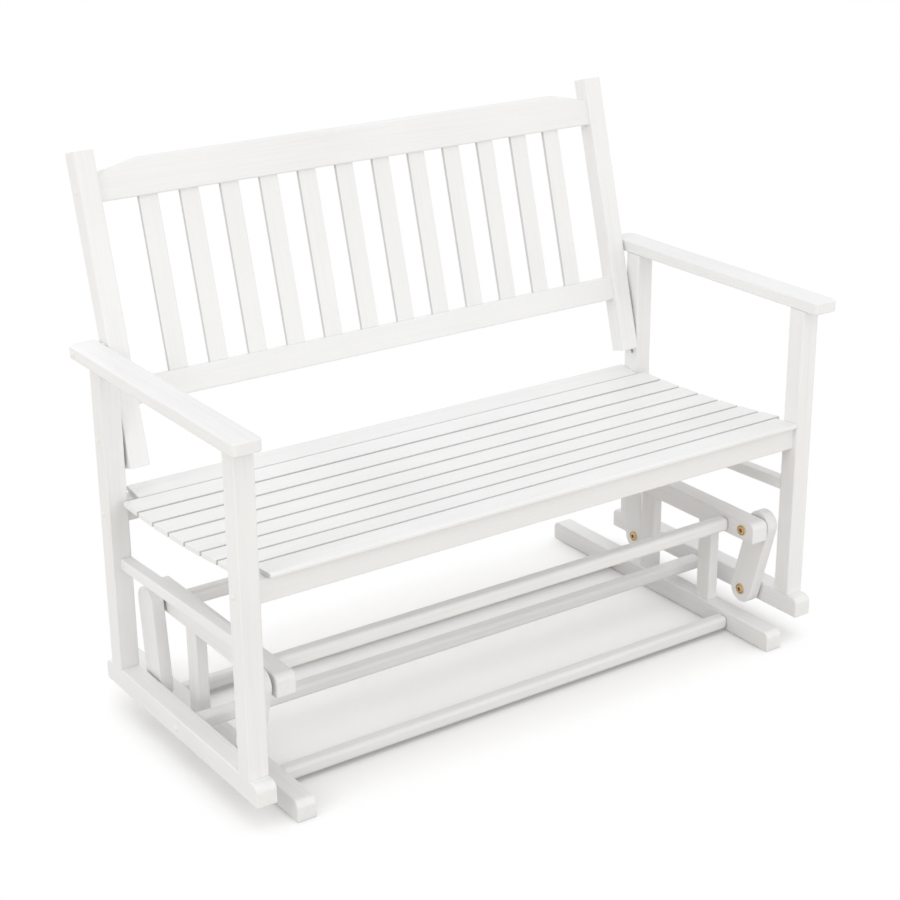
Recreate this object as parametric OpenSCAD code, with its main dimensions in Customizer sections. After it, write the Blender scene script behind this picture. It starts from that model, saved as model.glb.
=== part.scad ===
// Glider bench in painted timber. A slatted seat with arms and a leaning back hangs on four swing
// arms from a low base. The bench faces -Y, its length lies along X and it stands on z = 0.
// Left and right are as seen from the front. Sizes are in millimetres.

/* [Armrests] */
// Width over the outsides of the armrests
arm_span = 1220; // [1000:5:1600]
// Width of an armrest
arm_w = 52; // [42:1:80]
// Thickness of an armrest
arm_t = 22; // [16:1:30]
// Length of an armrest
arm_l = 572; // [545:1:600]
// Height of an armrest's top above the floor
arm_top = 667; // [640:1:700]
// How far an armrest reaches in front of the front legs
arm_lip = 29; // [5:1:45]
// How far an armrest reaches behind the rear legs' front faces
arm_tail = 86; // [80:1:95]
// Radius of an armrest's rear outer corner
arm_corner = 15; // [5:1:24]

/* [Legs and side rails] */
// Width of a leg along X
leg_w = 36.5; // [30:0.5:42]
// Depth of a leg along Y
leg_d = 36.5; // [30:0.5:40]
// Height of a foot rail
foot_rail_h = 39; // [34:1:46]
// Height of a foot rail's underside above the floor
foot_rail_z = 50; // [44:1:58]
// How far a foot rail reaches in front of the front legs
foot_rail_lip = 24; // [16:1:30]
// How far a foot rail reaches behind the rear legs
foot_rail_tail = 22.5; // [10:0.5:50]
// Width of a side rail
side_rail_w = 22.5; // [16:0.5:30]
// Height of a side rail
side_rail_h = 21; // [16:1:40]
// Height of a side rail's middle at the rear leg
side_rail_z = 287.5; // [270:0.5:300]
// Rise of a side rail from the rear leg to the front leg
side_rail_rise = 15.5; // [0:0.5:30]

/* [Seat] */
// Height of the seat's lowest point
seat_z = 405.5; // [395:0.5:420]
// Distance of the seat's lowest point in front of the rear legs' front faces
seat_low_lead = 57; // [40:1:80]
// Radius of the seat's dip
seat_radius = 2610; // [2200:10:3600]
// Gap between two seat slats
slat_gap = 5.75; // [3:0.25:12]
// Thickness of a seat slat
slat_t = 9.5; // [8:0.5:13]
// Middle of the foremost long slat behind the front legs' front faces
slat_first_y = 86; // [84:0.5:88]
// Middle of the rearmost long slat in front of the rear legs' front faces
slat_last_lead = 36.5; // [34:0.5:40]
// How far the long slats reach past the legs' inner faces
slat_reach = 14; // [0:1:30]
// Width of the front slat
front_slat_w = 55; // [48:1:60]
// Slope of the front slat, in degrees
front_slat_tilt = 4.2; // [0:0.1:8]
// Slope of the rear slat, in degrees
rear_slat_tilt = 8; // [0:0.5:14]
// How far the rear slat's front edge lies below its neighbour
rear_slat_drop = 2; // [0:0.5:4]
// Gap between the left legs and the front and rear slats
slat_end_gap = 18; // [1:1:30]

/* [Seat frame] */
// Thickness of the apron, the rear seat rail and the bearers
board_t = 22; // [16:1:28]
// Depth of the front apron at its rear face
apron_h = 39; // [30:1:60]
// How far the apron lies behind the legs' front faces
apron_setback = 10; // [2:1:13]
// Depth of the rear seat rail at its front face
seat_rail_h = 40; // [30:1:60]
// Gap from the rear seat rail to the plane of the rear legs' rear faces
seat_rail_setback = 1; // [0:0.5:6]
// Distance from the legs' inner faces to the outer bearers
bearer_inset = 39; // [15:1:80]
// Depth of a bearer where the seat is lowest
bearer_h = 24; // [18:1:34]

/* [Back] */
// Width of a back post along X
post_w = 37; // [30:0.5:44]
// Depth of a back post
post_d = 36; // [32:0.5:42]
// Length of a back post
post_l = 535; // [505:1:600]
// Distance of the post's front foot corner in front of the rear legs' front faces
post_lead = 10.8; // [2:0.1:17]
// Height of the post's front foot corner
post_z = 460.7; // [452:0.1:475]
// Lean of the back, in degrees
back_tilt = 14.9; // [12:0.1:17]
// Gap from a post to its leg and armrest, filled by a spacer
post_gap = 4.2; // [2:0.1:8]
// Setting of the back rails behind the posts' front faces
back_rail_set = 7; // [2:0.5:9]
// Height of the crest rail
crest_h = 66; // [40:1:75]
// Distance from the crest rail's top to the posts' tops
crest_drop = 22; // [5:1:40]
// Length of the crest rail's sloped shoulders
crest_shoulder_l = 80; // [20:1:150]
// Height of the crest rail's sloped shoulders
crest_shoulder_h = 17; // [4:1:24]
// Depth of the crest rail's rounded top, which its bolts stay below
crest_round = 8; // [2:1:10]
// Height of the lower back rail
low_rail_h = 44.5; // [36:0.5:70]
// Distance from the posts' feet to the lower back rail
low_rail_s = 103.5; // [92:0.5:120]
// Width of a back slat
back_slat_w = 36; // [20:1:60]
// Thickness of a back slat
back_slat_t = 8; // [6:1:16]
// Distance from one back slat to the next
back_slat_pitch = 77.7; // [62:0.1:82]
// Depth of the housings that hold the back slats' ends
housing = 9; // [3:1:14]

/* [Base] */
// Width of the floor rails and the top rails
base_rail_w = 36; // [28:1:44]
// Length of a floor rail
floor_rail_l = 651; // [640:1:700]
// Height of a floor rail
floor_rail_h = 38; // [30:1:44]
// How far a floor rail reaches in front of the front legs
floor_rail_lip = 25; // [5:1:28]
// Length of a top rail
top_rail_l = 446; // [430:1:470]
// Height of a top rail
top_rail_h = 40; // [34:1:50]
// Height of a top rail's underside above the floor
top_rail_z = 200; // [190:1:220]
// Distance of a top rail's front end behind the front legs' front faces
top_rail_y = 27; // [20:1:34]
// Thickness of an upright
upright_w = 22; // [16:1:28]
// Depth of an upright
upright_d = 36; // [24:1:50]
// Distance of the front uprights behind the front legs' front faces
upright_y = 148; // [140:1:160]
// Distance from the front uprights to the rear uprights
upright_pitch = 168; // [160:1:190]

/* [Stretchers] */
// Side of a stretcher's square section
stretcher = 26; // [18:1:32]
// Radius of a stretcher's long edges
stretcher_r = 8; // [2:0.5:9]
// Middle of the upper front stretcher behind the front legs' front faces
upper_front_y = 104; // [100:1:115]
// Middle of the upper rear stretcher behind the front legs' front faces
upper_rear_y = 403; // [380:1:405]
// Middle of the lower front stretcher behind the front legs' front faces
lower_front_y = 95.5; // [20:0.5:125]
// Middle of the lower rear stretcher behind the front legs' front faces
lower_rear_y = 446.5; // [380:0.5:560]
// Distance from a top rail's upper face to the upper stretchers' middle
upper_drop = 20.5; // [18:0.5:24]
// Middle of the glider stretcher behind the front legs' front faces
glider_stretcher_y = 250.7; // [235:0.1:265]
// Height of the glider stretcher's middle above the foot rail's underside
glider_stretcher_z = 18.5; // [15:0.5:24]

/* [Swing arms] */
// Distance between the two pivots of a swing arm
link_l = 151.5; // [130:0.5:165]
// Width of a swing arm
link_w = 54; // [40:1:58]
// Thickness of a swing arm
link_t = 24; // [16:1:28]
// Distance of the front top pivots behind the front legs' front faces
pivot_y = 57.5; // [54:0.1:66]
// Distance from the front top pivots to the rear top pivots
pivot_pitch = 372.6; // [355:0.1:380]
// Distance from a top rail's upper face to the top pivots
pivot_drop = 20; // [16:1:26]
// Lean of the front swing arms at rest, in degrees
front_lean = 15; // [8:0.1:17]
// Lean of the rear swing arms at rest, in degrees
rear_lean = 6.3; // [4:0.1:14]
// Free play round the bolt in the swing arms that only follow
open_play = 4; // [2:0.1:6]

/* [Bolts] */
// Diameter of a pivot bolt
pivot_bolt_d = 8; // [6:0.5:10]
// Diameter of a pivot bolt's head
head_d = 21; // [16:1:26]
// Height of a pivot bolt's head
head_h = 3.5; // [2:0.5:5]
// Width across the flats of a pivot bolt's socket
socket_w = 8; // [4:0.5:10]
// Thickness of the washers beside the swing arms
washer_t = 5; // [3:0.5:10]
// Diameter of the washers and spacers
washer_d = 20; // [14:1:26]
// Running clearance of bores and of faces that turn past each other
running = 0.08; // [0.02:0.01:0.1]
// Diameter of a frame bolt
frame_bolt_d = 6; // [4:0.5:8]
// Diameter of a frame bolt's cap
cap_d = 10; // [8:0.5:14]
// Height of a frame bolt's cap
cap_h = 2.4; // [1:0.2:5]
// How far a frame bolt screws into the piece that it draws up
bolt_grip = 40; // [15:1:60]

/* [Edges] */
// Radius of the frame pieces' long edges
edge_r = 3; // [0.5:0.5:5]
// Radius of the slats' edges
slat_r = 2; // [0.5:0.5:3.5]
// Radius of the front slat's nose
nose_r = 4; // [1:0.5:4.5]
// Radius of the rails' end corners
rail_end_r = 13; // [4:1:17]

/* [Hidden] */

white_paint = [0.94, 0.94, 0.93];
brass = [0.79, 0.62, 0.36];
round_fn = 48;
edge_steps = 3;
corner_steps = 6;
link_steps = 24;
over = 1;

// The width: legs, posts, swing arms and base from the outside to the middle
leg_in = arm_span / 2 - arm_w;
leg_out = leg_in + leg_w;
post_out = leg_in - post_gap;
post_in = post_out - post_w;
link_out = leg_in - washer_t;
link_in = link_out - link_t;
base_out = link_in - washer_t;
base_in = base_out - base_rail_w;

// The depth, before the bench is centred on y = 0
leg_pitch = arm_l - arm_lip - arm_tail;
foot_rail_l = foot_rail_lip + leg_pitch + leg_d + foot_rail_tail;
post_y = leg_pitch - post_lead;
y_low = -arm_lip;
y_high = floor_rail_l - floor_rail_lip;
y_shift = -(y_low + y_high) / 2;

// The heights
leg_z = foot_rail_z + foot_rail_h;
leg_top = arm_top - arm_t;
pivot_z = top_rail_z + top_rail_h - pivot_drop;
stretcher_high = top_rail_z + top_rail_h - upper_drop;
stretcher_low = floor_rail_h / 2;

// Seat slats as [front top corner, rear top corner], in Y and Z
mid_slats = 7;
slat_pitch = (leg_pitch - slat_last_lead - slat_first_y) / (mid_slats - 1);
slat_w = slat_pitch - slat_gap;
seat_low_y = leg_pitch - seat_low_lead;
slat_fit = 0.03;
function seat_angle(y) = asin((seat_low_y - y) / seat_radius);
function along(a, l) = [l * cos(a), -l * sin(a)];
function on_seat(y) = [y, seat_z + seat_radius * (1 - cos(seat_angle(y)))];
function mid_slat(i) =
  let (y = slat_first_y + i * slat_pitch, a = seat_angle(y))
  [on_seat(y) - along(a, slat_w / 2), on_seat(y) + along(a, slat_w / 2)];
front_edge = mid_slat(0)[0] - along(seat_angle(slat_first_y), slat_gap);
front_slat = [front_edge - along(front_slat_tilt, front_slat_w), front_edge];
rear_edge = mid_slat(mid_slats - 1)[1] + [slat_gap, -rear_slat_drop];
rear_slat = [rear_edge, rear_edge + along(-rear_slat_tilt, slat_w)];
slats = concat([rear_slat], [for (i = [1 : mid_slats]) mid_slat(mid_slats - i)], [front_slat]);
function slope(s) = atan2(s[0][1] - s[1][1], s[1][0] - s[0][0]);
function under(s, k) = s[k] - (slat_t + slat_fit) * [sin(slope(s)), cos(slope(s))];
function under_z(s, y) = under(s, 0)[1] - (y - under(s, 0)[0]) * tan(slope(s));

// Apron, rear seat rail and bearers, in Y and Z
apron_y = [apron_setback, apron_setback + board_t];
apron_z = under_z(front_slat, apron_y[1]) - apron_h;
seat_rail_y = [leg_pitch + leg_d - seat_rail_setback - board_t, leg_pitch + leg_d - seat_rail_setback];
seat_rail_z = under_z(rear_slat, seat_rail_y[0]) - seat_rail_h;
bearer_z = seat_z - slat_t - bearer_h;

// Back rails and slats along the posts
crest_s = post_l - crest_drop - crest_h;
low_rail_top = low_rail_s + low_rail_h;
back_slats = 12;
back_slat_set = back_rail_set + (board_t - back_slat_t) / 2;
back_slat_l = crest_s - low_rail_top + 2 * housing;
housing_clear = 0.1;

// Pivots as [y, z]
front_pivot = [pivot_y, pivot_z];
rear_pivot = [pivot_y + pivot_pitch, pivot_z];
front_low = front_pivot + link_l * [sin(front_lean), -cos(front_lean)];
rear_low = rear_pivot + link_l * [-sin(rear_lean), -cos(rear_lean)];

// Bolts and bores
pivot_bore_r = pivot_bolt_d / 2 + running;
open_bore_r = pivot_bolt_d / 2 + open_play;
insert_wall = 4.5;
insert_depth = link_t - insert_wall;
frame_bore_r = frame_bolt_d / 2 + running;
spare_hole_r = 4.5;
spare_hole_depth = 12;
spare_hole_set = 13;
spare_hole_drop = 15;
spare_hole = [leg_pitch + spare_hole_set, post_z - spare_hole_drop];
bolt_wall = 8;
shoulder_bolt_s = 57;
shoulder_bolt = [post_d / 2, shoulder_bolt_s];
arm_bolt_z = arm_top - arm_t / 2;
arm_bolt_s = (arm_bolt_z - post_z + post_d / 2 * sin(back_tilt)) / cos(back_tilt);
low_rail_bolt = [post_d / 2, low_rail_s + low_rail_h / 2];
crest_bolt = [post_d / 2, crest_s + (crest_h - crest_shoulder_h - crest_round) / 2 + over];
function on_post(p) = [
  post_y + p[0] * cos(back_tilt) + p[1] * sin(back_tilt),
  post_z - p[0] * sin(back_tilt) + p[1] * cos(back_tilt)
];
apron_bolt = [(apron_y[0] + apron_y[1]) / 2, apron_z + apron_h / 2];
seat_rail_bolt = [(seat_rail_y[0] + seat_rail_y[1]) / 2, seat_rail_z + seat_rail_h / 2];
stretcher_bolt = [glider_stretcher_y, foot_rail_z + glider_stretcher_z];
shoulder_point = on_post(shoulder_bolt);
arm_bolt_point = on_post([post_d / 2, arm_bolt_s]);
low_rail_point = on_post(low_rail_bolt);
crest_point = on_post(crest_bolt);

// Points of an arc round a centre
function arc(c, r, a0, a1, n) =
  [for (i = [0 : n]) c + r * [cos(a0 + (a1 - a0) * i / n), sin(a0 + (a1 - a0) * i / n)]];

// Outline of a w by h rectangle, with radii from the lower left corner anticlockwise
function rounded(w, h, r, n = edge_steps) = concat(
  arc([r[0], r[0]], r[0], 180, 270, n), arc([w - r[1], r[1]], r[1], 270, 360, n),
  arc([w - r[2], h - r[2]], r[2], 0, 90, n), arc([r[3], h - r[3]], r[3], 90, 180, n));
function all_edges(r) = [r, r, r, r];

module place() translate([0, y_shift, 0]) children();
module on_side(s) mirror([s < 0 ? 1 : 0, 0, 0]) children();

// Extrudes an outline in Y and Z from x0 to x1
module across(x0, x1) translate([x0, 0, 0]) rotate([90, 0, 90]) linear_extrude(x1 - x0) children();

// Bore or bar along X through a point in Y and Z
module rod(x0, x1, p, r) translate([x0, p[0], p[1]]) rotate([0, 90, 0])
  cylinder(r = r, h = x1 - x0, $fn = round_fn);

// Rail along Y from the origin, with rounded upper end corners and long edges
module rail(w, l, h) intersection() {
  across(-over, w + over) polygon(rounded(l, h, [edge_r, edge_r, rail_end_r, rail_end_r], corner_steps));
  translate([0, l + over, 0]) rotate([90, 0, 0]) linear_extrude(l + 2 * over)
    polygon(rounded(w, h, all_edges(edge_r)));
}

// Glider: side frames
module leg(y) translate([leg_in, y, leg_z]) linear_extrude(leg_top - leg_z)
  polygon(rounded(leg_w, leg_d, all_edges(edge_r)));

module front_leg(s) color(white_paint) place() on_side(s) difference() {
  leg(0);
  rod(leg_in - over, leg_out + over, apron_bolt, frame_bore_r);
}

module rear_leg(s) color(white_paint) place() on_side(s) difference() {
  leg(leg_pitch);
  rod(leg_in - over, leg_out + over, seat_rail_bolt, frame_bore_r);
  rod(leg_in - over, leg_out + over, shoulder_point, frame_bore_r);
  rod(leg_in - over, leg_in + spare_hole_depth, spare_hole, spare_hole_r);
}

module armrest(s) color(white_paint) place() on_side(s) difference() {
  intersection() {
    translate([leg_in, -arm_lip, leg_top - over]) linear_extrude(arm_t + 2 * over)
      polygon(rounded(arm_w, arm_l, [edge_r, edge_r, arm_corner, edge_r], corner_steps));
    translate([leg_in, arm_l - arm_lip + over, leg_top]) rotate([90, 0, 0]) linear_extrude(arm_l + 2 * over)
      polygon(rounded(arm_w, arm_t, all_edges(edge_r)));
  }
  rod(leg_in - over, leg_in + arm_w + over, arm_bolt_point, frame_bore_r);
}

module side_rail(s) color(white_paint) place() on_side(s) intersection() {
  translate([leg_in, leg_d, side_rail_z - leg_pitch]) cube([side_rail_w, leg_pitch - leg_d, 2 * leg_pitch]);
  translate([leg_in, leg_pitch, side_rail_z]) rotate([-atan(side_rail_rise / (leg_pitch - leg_d)), 0, 0])
    translate([0, leg_w, -side_rail_h / 2]) rotate([90, 0, 0]) linear_extrude(leg_pitch + leg_w)
      polygon(rounded(side_rail_w, side_rail_h, all_edges(edge_r)));
}

module foot_rail(s) color(white_paint) place() on_side(s) difference() {
  translate([leg_in, -foot_rail_lip, foot_rail_z]) rail(leg_w, foot_rail_l, foot_rail_h);
  rod(leg_in - over, leg_out + over, stretcher_bolt, frame_bore_r);
  for (p = [front_low, rear_low]) rod(leg_in - over, leg_in + insert_depth, p, pivot_bore_r);
}

// Stretcher along X between two faces, with its middle at a point in Y and Z
module stretcher_bar(x, p) across(-x, x) translate(p - [stretcher, stretcher] / 2)
  polygon(rounded(stretcher, stretcher, all_edges(stretcher_r)));

module glider_stretcher() color(white_paint) place() difference() {
  stretcher_bar(leg_in, stretcher_bolt);
  for (s = [-1, 1]) on_side(s) rod(leg_in - bolt_grip, leg_in + over, stretcher_bolt, frame_bore_r);
}

// Glider: seat frame
module front_apron() color(white_paint) place() difference() {
  across(-leg_in, leg_in) polygon(concat(
    arc([apron_y[0] + edge_r, apron_z + edge_r], edge_r, 180, 270, edge_steps),
    arc([apron_y[1] - edge_r, apron_z + edge_r], edge_r, 270, 360, edge_steps),
    [for (k = [1, 0]) [apron_y[k], under_z(front_slat, apron_y[k])]]));
  for (s = [-1, 1]) on_side(s) rod(leg_in - bolt_grip, leg_in + over, apron_bolt, frame_bore_r);
}

module rear_seat_rail() color(white_paint) place() difference() {
  across(-leg_in, leg_in) polygon(concat(
    arc([seat_rail_y[0] + edge_r, seat_rail_z + edge_r], edge_r, 180, 270, edge_steps),
    arc([seat_rail_y[1] - edge_r, seat_rail_z + edge_r], edge_r, 270, 360, edge_steps),
    [for (k = [1, 0]) [seat_rail_y[k], under_z(rear_slat, seat_rail_y[k])]]));
  for (s = [-1, 1]) on_side(s) rod(leg_in - bolt_grip, leg_in + over, seat_rail_bolt, frame_bore_r);
}

// Bearer under the slats, its upper edge cut to a flat for each slat
module seat_bearer(x) color(white_paint) place() across(x - board_t / 2, x + board_t / 2) polygon(concat(
  [[apron_y[1], bearer_z], [seat_rail_y[0], bearer_z], [seat_rail_y[0], under_z(rear_slat, seat_rail_y[0])]],
  [under(rear_slat, 0)],
  [for (i = [1 : mid_slats]) for (k = [1, 0]) under(slats[i], k)],
  [under(front_slat, 1), [apron_y[1], under_z(front_slat, apron_y[1])]]));

// Slat along X with its front top corner at the place that the list gives
module slat_bar(i, x0, x1, radii) let (s = slats[i - 1], w = norm(s[1] - s[0]))
  translate([0, s[0][0], s[0][1]]) rotate([-slope(s), 0, 0]) translate([0, 0, -slat_t])
    across(x0, x1) polygon(rounded(w, slat_t, radii));

module seat_slat(i) color(white_paint) place()
  slat_bar(i, -leg_in - slat_reach, leg_in + slat_reach, all_edges(slat_r));

module rear_seat_slat() color(white_paint) place()
  slat_bar(1, -leg_in + slat_end_gap, leg_in - running, [slat_r, slat_r, nose_r, slat_r]);

module front_seat_slat() color(white_paint) place()
  slat_bar(len(slats), -leg_in + slat_end_gap, leg_in - running, [nose_r, slat_r, slat_r, nose_r]);

// Glider: back, drawn upright from the posts' front foot corner
module lean() translate([0, post_y, post_z]) rotate([-back_tilt, 0, 0]) children();

module back_post(s) color(white_paint) place() on_side(s) difference() {
  lean() translate([post_in, 0, 0]) linear_extrude(post_l)
    polygon(rounded(post_w, post_d, all_edges(edge_r)));
  rod(post_in - over, post_out + over, crest_point, frame_bore_r);
  rod(post_in - over, post_out + over, low_rail_point, frame_bore_r);
  for (p = [shoulder_point, arm_bolt_point]) rod(post_in + bolt_wall, post_out + over, p, frame_bore_r);
}

function back_slat_x(i) = (i - (back_slats + 1) / 2) * back_slat_pitch;

module back_housings(s0) for (i = [1 : back_slats])
  translate([back_slat_x(i) - back_slat_w / 2 - housing_clear, back_slat_set - housing_clear, s0])
    cube([back_slat_w + 2 * housing_clear, back_slat_t + 2 * housing_clear, housing + over]);

module crest_rail() color(white_paint) place() difference() {
  lean() difference() {
    translate([0, back_rail_set + board_t, crest_s]) rotate([90, 0, 0]) linear_extrude(board_t) polygon([
      [-post_in, 0], [post_in, 0], [post_in, crest_h - crest_shoulder_h],
      [post_in - crest_shoulder_l, crest_h], [crest_shoulder_l - post_in, crest_h],
      [-post_in, crest_h - crest_shoulder_h]]);
    back_housings(crest_s - over);
  }
  for (s = [-1, 1]) on_side(s) rod(post_in - bolt_grip, post_in + over, crest_point, frame_bore_r);
}

module lower_back_rail() color(white_paint) place() difference() {
  lean() difference() {
    across(-post_in, post_in) translate([back_rail_set, low_rail_s])
      polygon(rounded(board_t, low_rail_h, all_edges(edge_r)));
    back_housings(low_rail_top - housing);
  }
  for (s = [-1, 1]) on_side(s) rod(post_in - bolt_grip, post_in + over, low_rail_point, frame_bore_r);
}

module back_slat(i) color(white_paint) place() lean()
  translate([back_slat_x(i) - back_slat_w / 2, back_slat_set, low_rail_top - housing])
    linear_extrude(back_slat_l) polygon(rounded(back_slat_w, back_slat_t, all_edges(slat_r)));

// Base
module floor_rail(s) color(white_paint) place() on_side(s)
  translate([base_in, -floor_rail_lip, 0]) rail(base_rail_w, floor_rail_l, floor_rail_h);

module top_rail(s) color(white_paint) place() on_side(s) difference() {
  translate([base_in, top_rail_y, top_rail_z]) rail(base_rail_w, top_rail_l, top_rail_h);
  for (p = [front_pivot, rear_pivot]) rod(base_in - over, base_out + over, p, pivot_bore_r);
}

module upright(s, y) color(white_paint) place() on_side(s)
  translate([(base_in + base_out - upright_w) / 2, y, floor_rail_h])
    linear_extrude(top_rail_z - floor_rail_h) polygon(rounded(upright_w, upright_d, all_edges(edge_r)));

module base_stretcher(y, z) color(white_paint) place() stretcher_bar(base_in, [y, z]);

// Swing arm between a top pivot and a lower pivot, with a blind bore above and a through bore below
module swing_arm(s, top, low, low_r) color(white_paint) place() on_side(s) difference() {
  turn = atan2(top[1] - low[1], top[0] - low[0]);
  across(link_in, link_out) polygon(concat(
    arc(top, link_w / 2, turn - 90, turn + 90, link_steps),
    arc(low, link_w / 2, turn + 90, turn + 270, link_steps)));
  rod(link_in - over, link_in + insert_depth, top, pivot_bore_r);
  rod(link_in - over, link_out + over, low, low_r);
}

// Bolt along +X with a wide socket head under the face at x0
module pivot_bolt(x0, l, p) translate([x0, p[0], p[1]]) rotate([0, 90, 0]) difference() {
  union() {
    translate([0, 0, -head_h]) cylinder(d1 = head_d - head_h, d2 = head_d, h = head_h / 2, $fn = round_fn);
    translate([0, 0, -head_h / 2]) cylinder(d = head_d, h = head_h / 2, $fn = round_fn);
    translate([0, 0, -over / 2]) cylinder(d = pivot_bolt_d, h = l + over / 2, $fn = round_fn);
  }
  translate([0, 0, -head_h - over]) cylinder(d = socket_w / cos(30), h = head_h - over / 2 + over, $fn = 6);
}

module washer(x0, x1, p, bore_r) difference() {
  rod(x0, x1, p, washer_d / 2);
  rod(x0 - over, x1 + over, p, bore_r);
}

module upper_pivot_bolts() color(brass) place() for (s = [-1, 1], p = [front_pivot, rear_pivot]) on_side(s) {
  pivot_bolt(base_in, base_rail_w + washer_t + insert_depth - over, p);
  washer(base_out, link_in - running, p, pivot_bore_r);
}

module lower_pivot_bolts() color(brass) place() for (s = [-1, 1], p = [front_low, rear_low]) on_side(s) {
  pivot_bolt(link_in - running, link_t + washer_t + insert_depth - over, p);
  washer(link_out + running, leg_in, p, pivot_bore_r);
}

// Bolt along -X with a low round cap on the face at x0
module frame_bolt(x0, l, p) translate([x0, p[0], p[1]]) rotate([0, 90, 0]) {
  cylinder(d1 = cap_d, d2 = cap_d - cap_h, h = cap_h, $fn = round_fn);
  translate([0, 0, -l]) cylinder(d = frame_bolt_d, h = l + cap_h / 2, $fn = round_fn);
}

module frame_bolts() color(white_paint) place() for (s = [-1, 1]) on_side(s) {
  frame_bolt(leg_out, leg_w + bolt_grip - over, stretcher_bolt);
  frame_bolt(leg_out, leg_w + bolt_grip - over, apron_bolt);
  frame_bolt(leg_out, leg_w + bolt_grip - over, seat_rail_bolt);
  frame_bolt(leg_out, leg_out - post_in - bolt_wall - over, shoulder_point);
  frame_bolt(leg_in + arm_w, leg_in + arm_w - post_in - bolt_wall - over, arm_bolt_point);
  frame_bolt(post_out, post_w + bolt_grip - over, low_rail_point);
  frame_bolt(post_out, post_w + bolt_grip - over, crest_point);
  washer(post_out, leg_in, shoulder_point, frame_bore_r);
  washer(post_out, leg_in, arm_bolt_point, frame_bore_r);
}

front_leg(-1);  // left_front_leg
front_leg(1);  // right_front_leg
rear_leg(-1);  // left_rear_leg
rear_leg(1);  // right_rear_leg
armrest(-1);  // left_armrest
armrest(1);  // right_armrest
side_rail(-1);  // left_side_rail
side_rail(1);  // right_side_rail
foot_rail(-1);  // left_foot_rail
foot_rail(1);  // right_foot_rail
glider_stretcher();
front_apron();
rear_seat_rail();
seat_bearer(-(leg_in - bearer_inset - board_t / 2));  // left_seat_bearer
seat_bearer(0);  // middle_seat_bearer
seat_bearer(leg_in - bearer_inset - board_t / 2);  // right_seat_bearer
rear_seat_slat();  // seat_slat_1
seat_slat(2);  // seat_slat_2
seat_slat(3);  // seat_slat_3
seat_slat(4);  // seat_slat_4
seat_slat(5);  // seat_slat_5
seat_slat(6);  // seat_slat_6
seat_slat(7);  // seat_slat_7
seat_slat(8);  // seat_slat_8
front_seat_slat();  // seat_slat_9
back_post(-1);  // left_back_post
back_post(1);  // right_back_post
crest_rail();
lower_back_rail();
for (i = [1 : back_slats]) back_slat(i);
floor_rail(-1);  // left_floor_rail
floor_rail(1);  // right_floor_rail
top_rail(-1);  // left_top_rail
top_rail(1);  // right_top_rail
upright(-1, upright_y);  // left_front_upright
upright(1, upright_y);  // right_front_upright
upright(-1, upright_y + upright_pitch);  // left_rear_upright
upright(1, upright_y + upright_pitch);  // right_rear_upright
base_stretcher(upper_front_y, stretcher_high);  // upper_front_stretcher
base_stretcher(upper_rear_y, stretcher_high);  // upper_rear_stretcher
base_stretcher(lower_front_y, stretcher_low);  // lower_front_stretcher
base_stretcher(lower_rear_y, stretcher_low);  // lower_rear_stretcher
swing_arm(-1, front_pivot, front_low, pivot_bore_r);  // front_left_swing_arm
swing_arm(1, front_pivot, front_low, pivot_bore_r);  // front_right_swing_arm
swing_arm(-1, rear_pivot, rear_low, open_bore_r);  // rear_left_swing_arm
swing_arm(1, rear_pivot, rear_low, open_bore_r);  // rear_right_swing_arm
upper_pivot_bolts();
lower_pivot_bolts();
frame_bolts();
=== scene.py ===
"""Glider bench in white painted hardwood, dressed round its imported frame.

The bench hangs on four swing arms from a low base. Its length lies along X, it faces -Y and it
stands on z = 0. Lengths in the classes below are millimetres, as a joiner gives them, and MM
turns them to metres where a mesh is made.
"""

from __future__ import annotations

import logging
import math
from dataclasses import dataclass, field
from enum import Enum

import bmesh
import bpy
from mathutils import Matrix, Vector

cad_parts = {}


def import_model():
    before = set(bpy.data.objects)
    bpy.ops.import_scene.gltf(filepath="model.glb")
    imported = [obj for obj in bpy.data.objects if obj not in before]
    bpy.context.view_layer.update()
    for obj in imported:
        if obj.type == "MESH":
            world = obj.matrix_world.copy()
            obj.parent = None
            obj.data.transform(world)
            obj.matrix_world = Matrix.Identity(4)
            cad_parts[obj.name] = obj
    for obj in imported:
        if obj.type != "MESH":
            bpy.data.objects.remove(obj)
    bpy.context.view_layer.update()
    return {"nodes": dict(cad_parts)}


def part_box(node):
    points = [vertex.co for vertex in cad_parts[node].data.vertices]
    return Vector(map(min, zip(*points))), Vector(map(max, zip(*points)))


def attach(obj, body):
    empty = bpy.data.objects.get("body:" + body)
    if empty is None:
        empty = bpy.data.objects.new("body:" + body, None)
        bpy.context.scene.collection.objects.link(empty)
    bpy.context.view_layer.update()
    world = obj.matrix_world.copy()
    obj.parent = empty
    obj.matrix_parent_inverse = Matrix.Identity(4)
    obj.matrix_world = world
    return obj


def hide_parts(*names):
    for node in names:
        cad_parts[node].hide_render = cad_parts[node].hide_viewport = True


LOG = logging.getLogger("glider_bench")
MM = 0.001
ROUND_STEPS = 48
SHARP_ANGLE = math.radians(38)
# Two places this close, in metres, are the same place.
NEAR = 1e-6
# Cosines above which a direction runs along an axis, or a face looks mostly along it.
ALONG = 0.999
MOSTLY = 0.8

Edges = list[bmesh.types.BMEdge]


class Axis(Enum):
    """The three directions of the bench."""

    LENGTH = 0
    DEPTH = 1
    HEIGHT = 2


class Side(Enum):
    """An end of the bench, as seen from the front."""

    LEFT = -1
    RIGHT = 1

    @property
    def word(self) -> str:
        """The side's name as the nodes spell it."""
        return self.name.lower()


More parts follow.
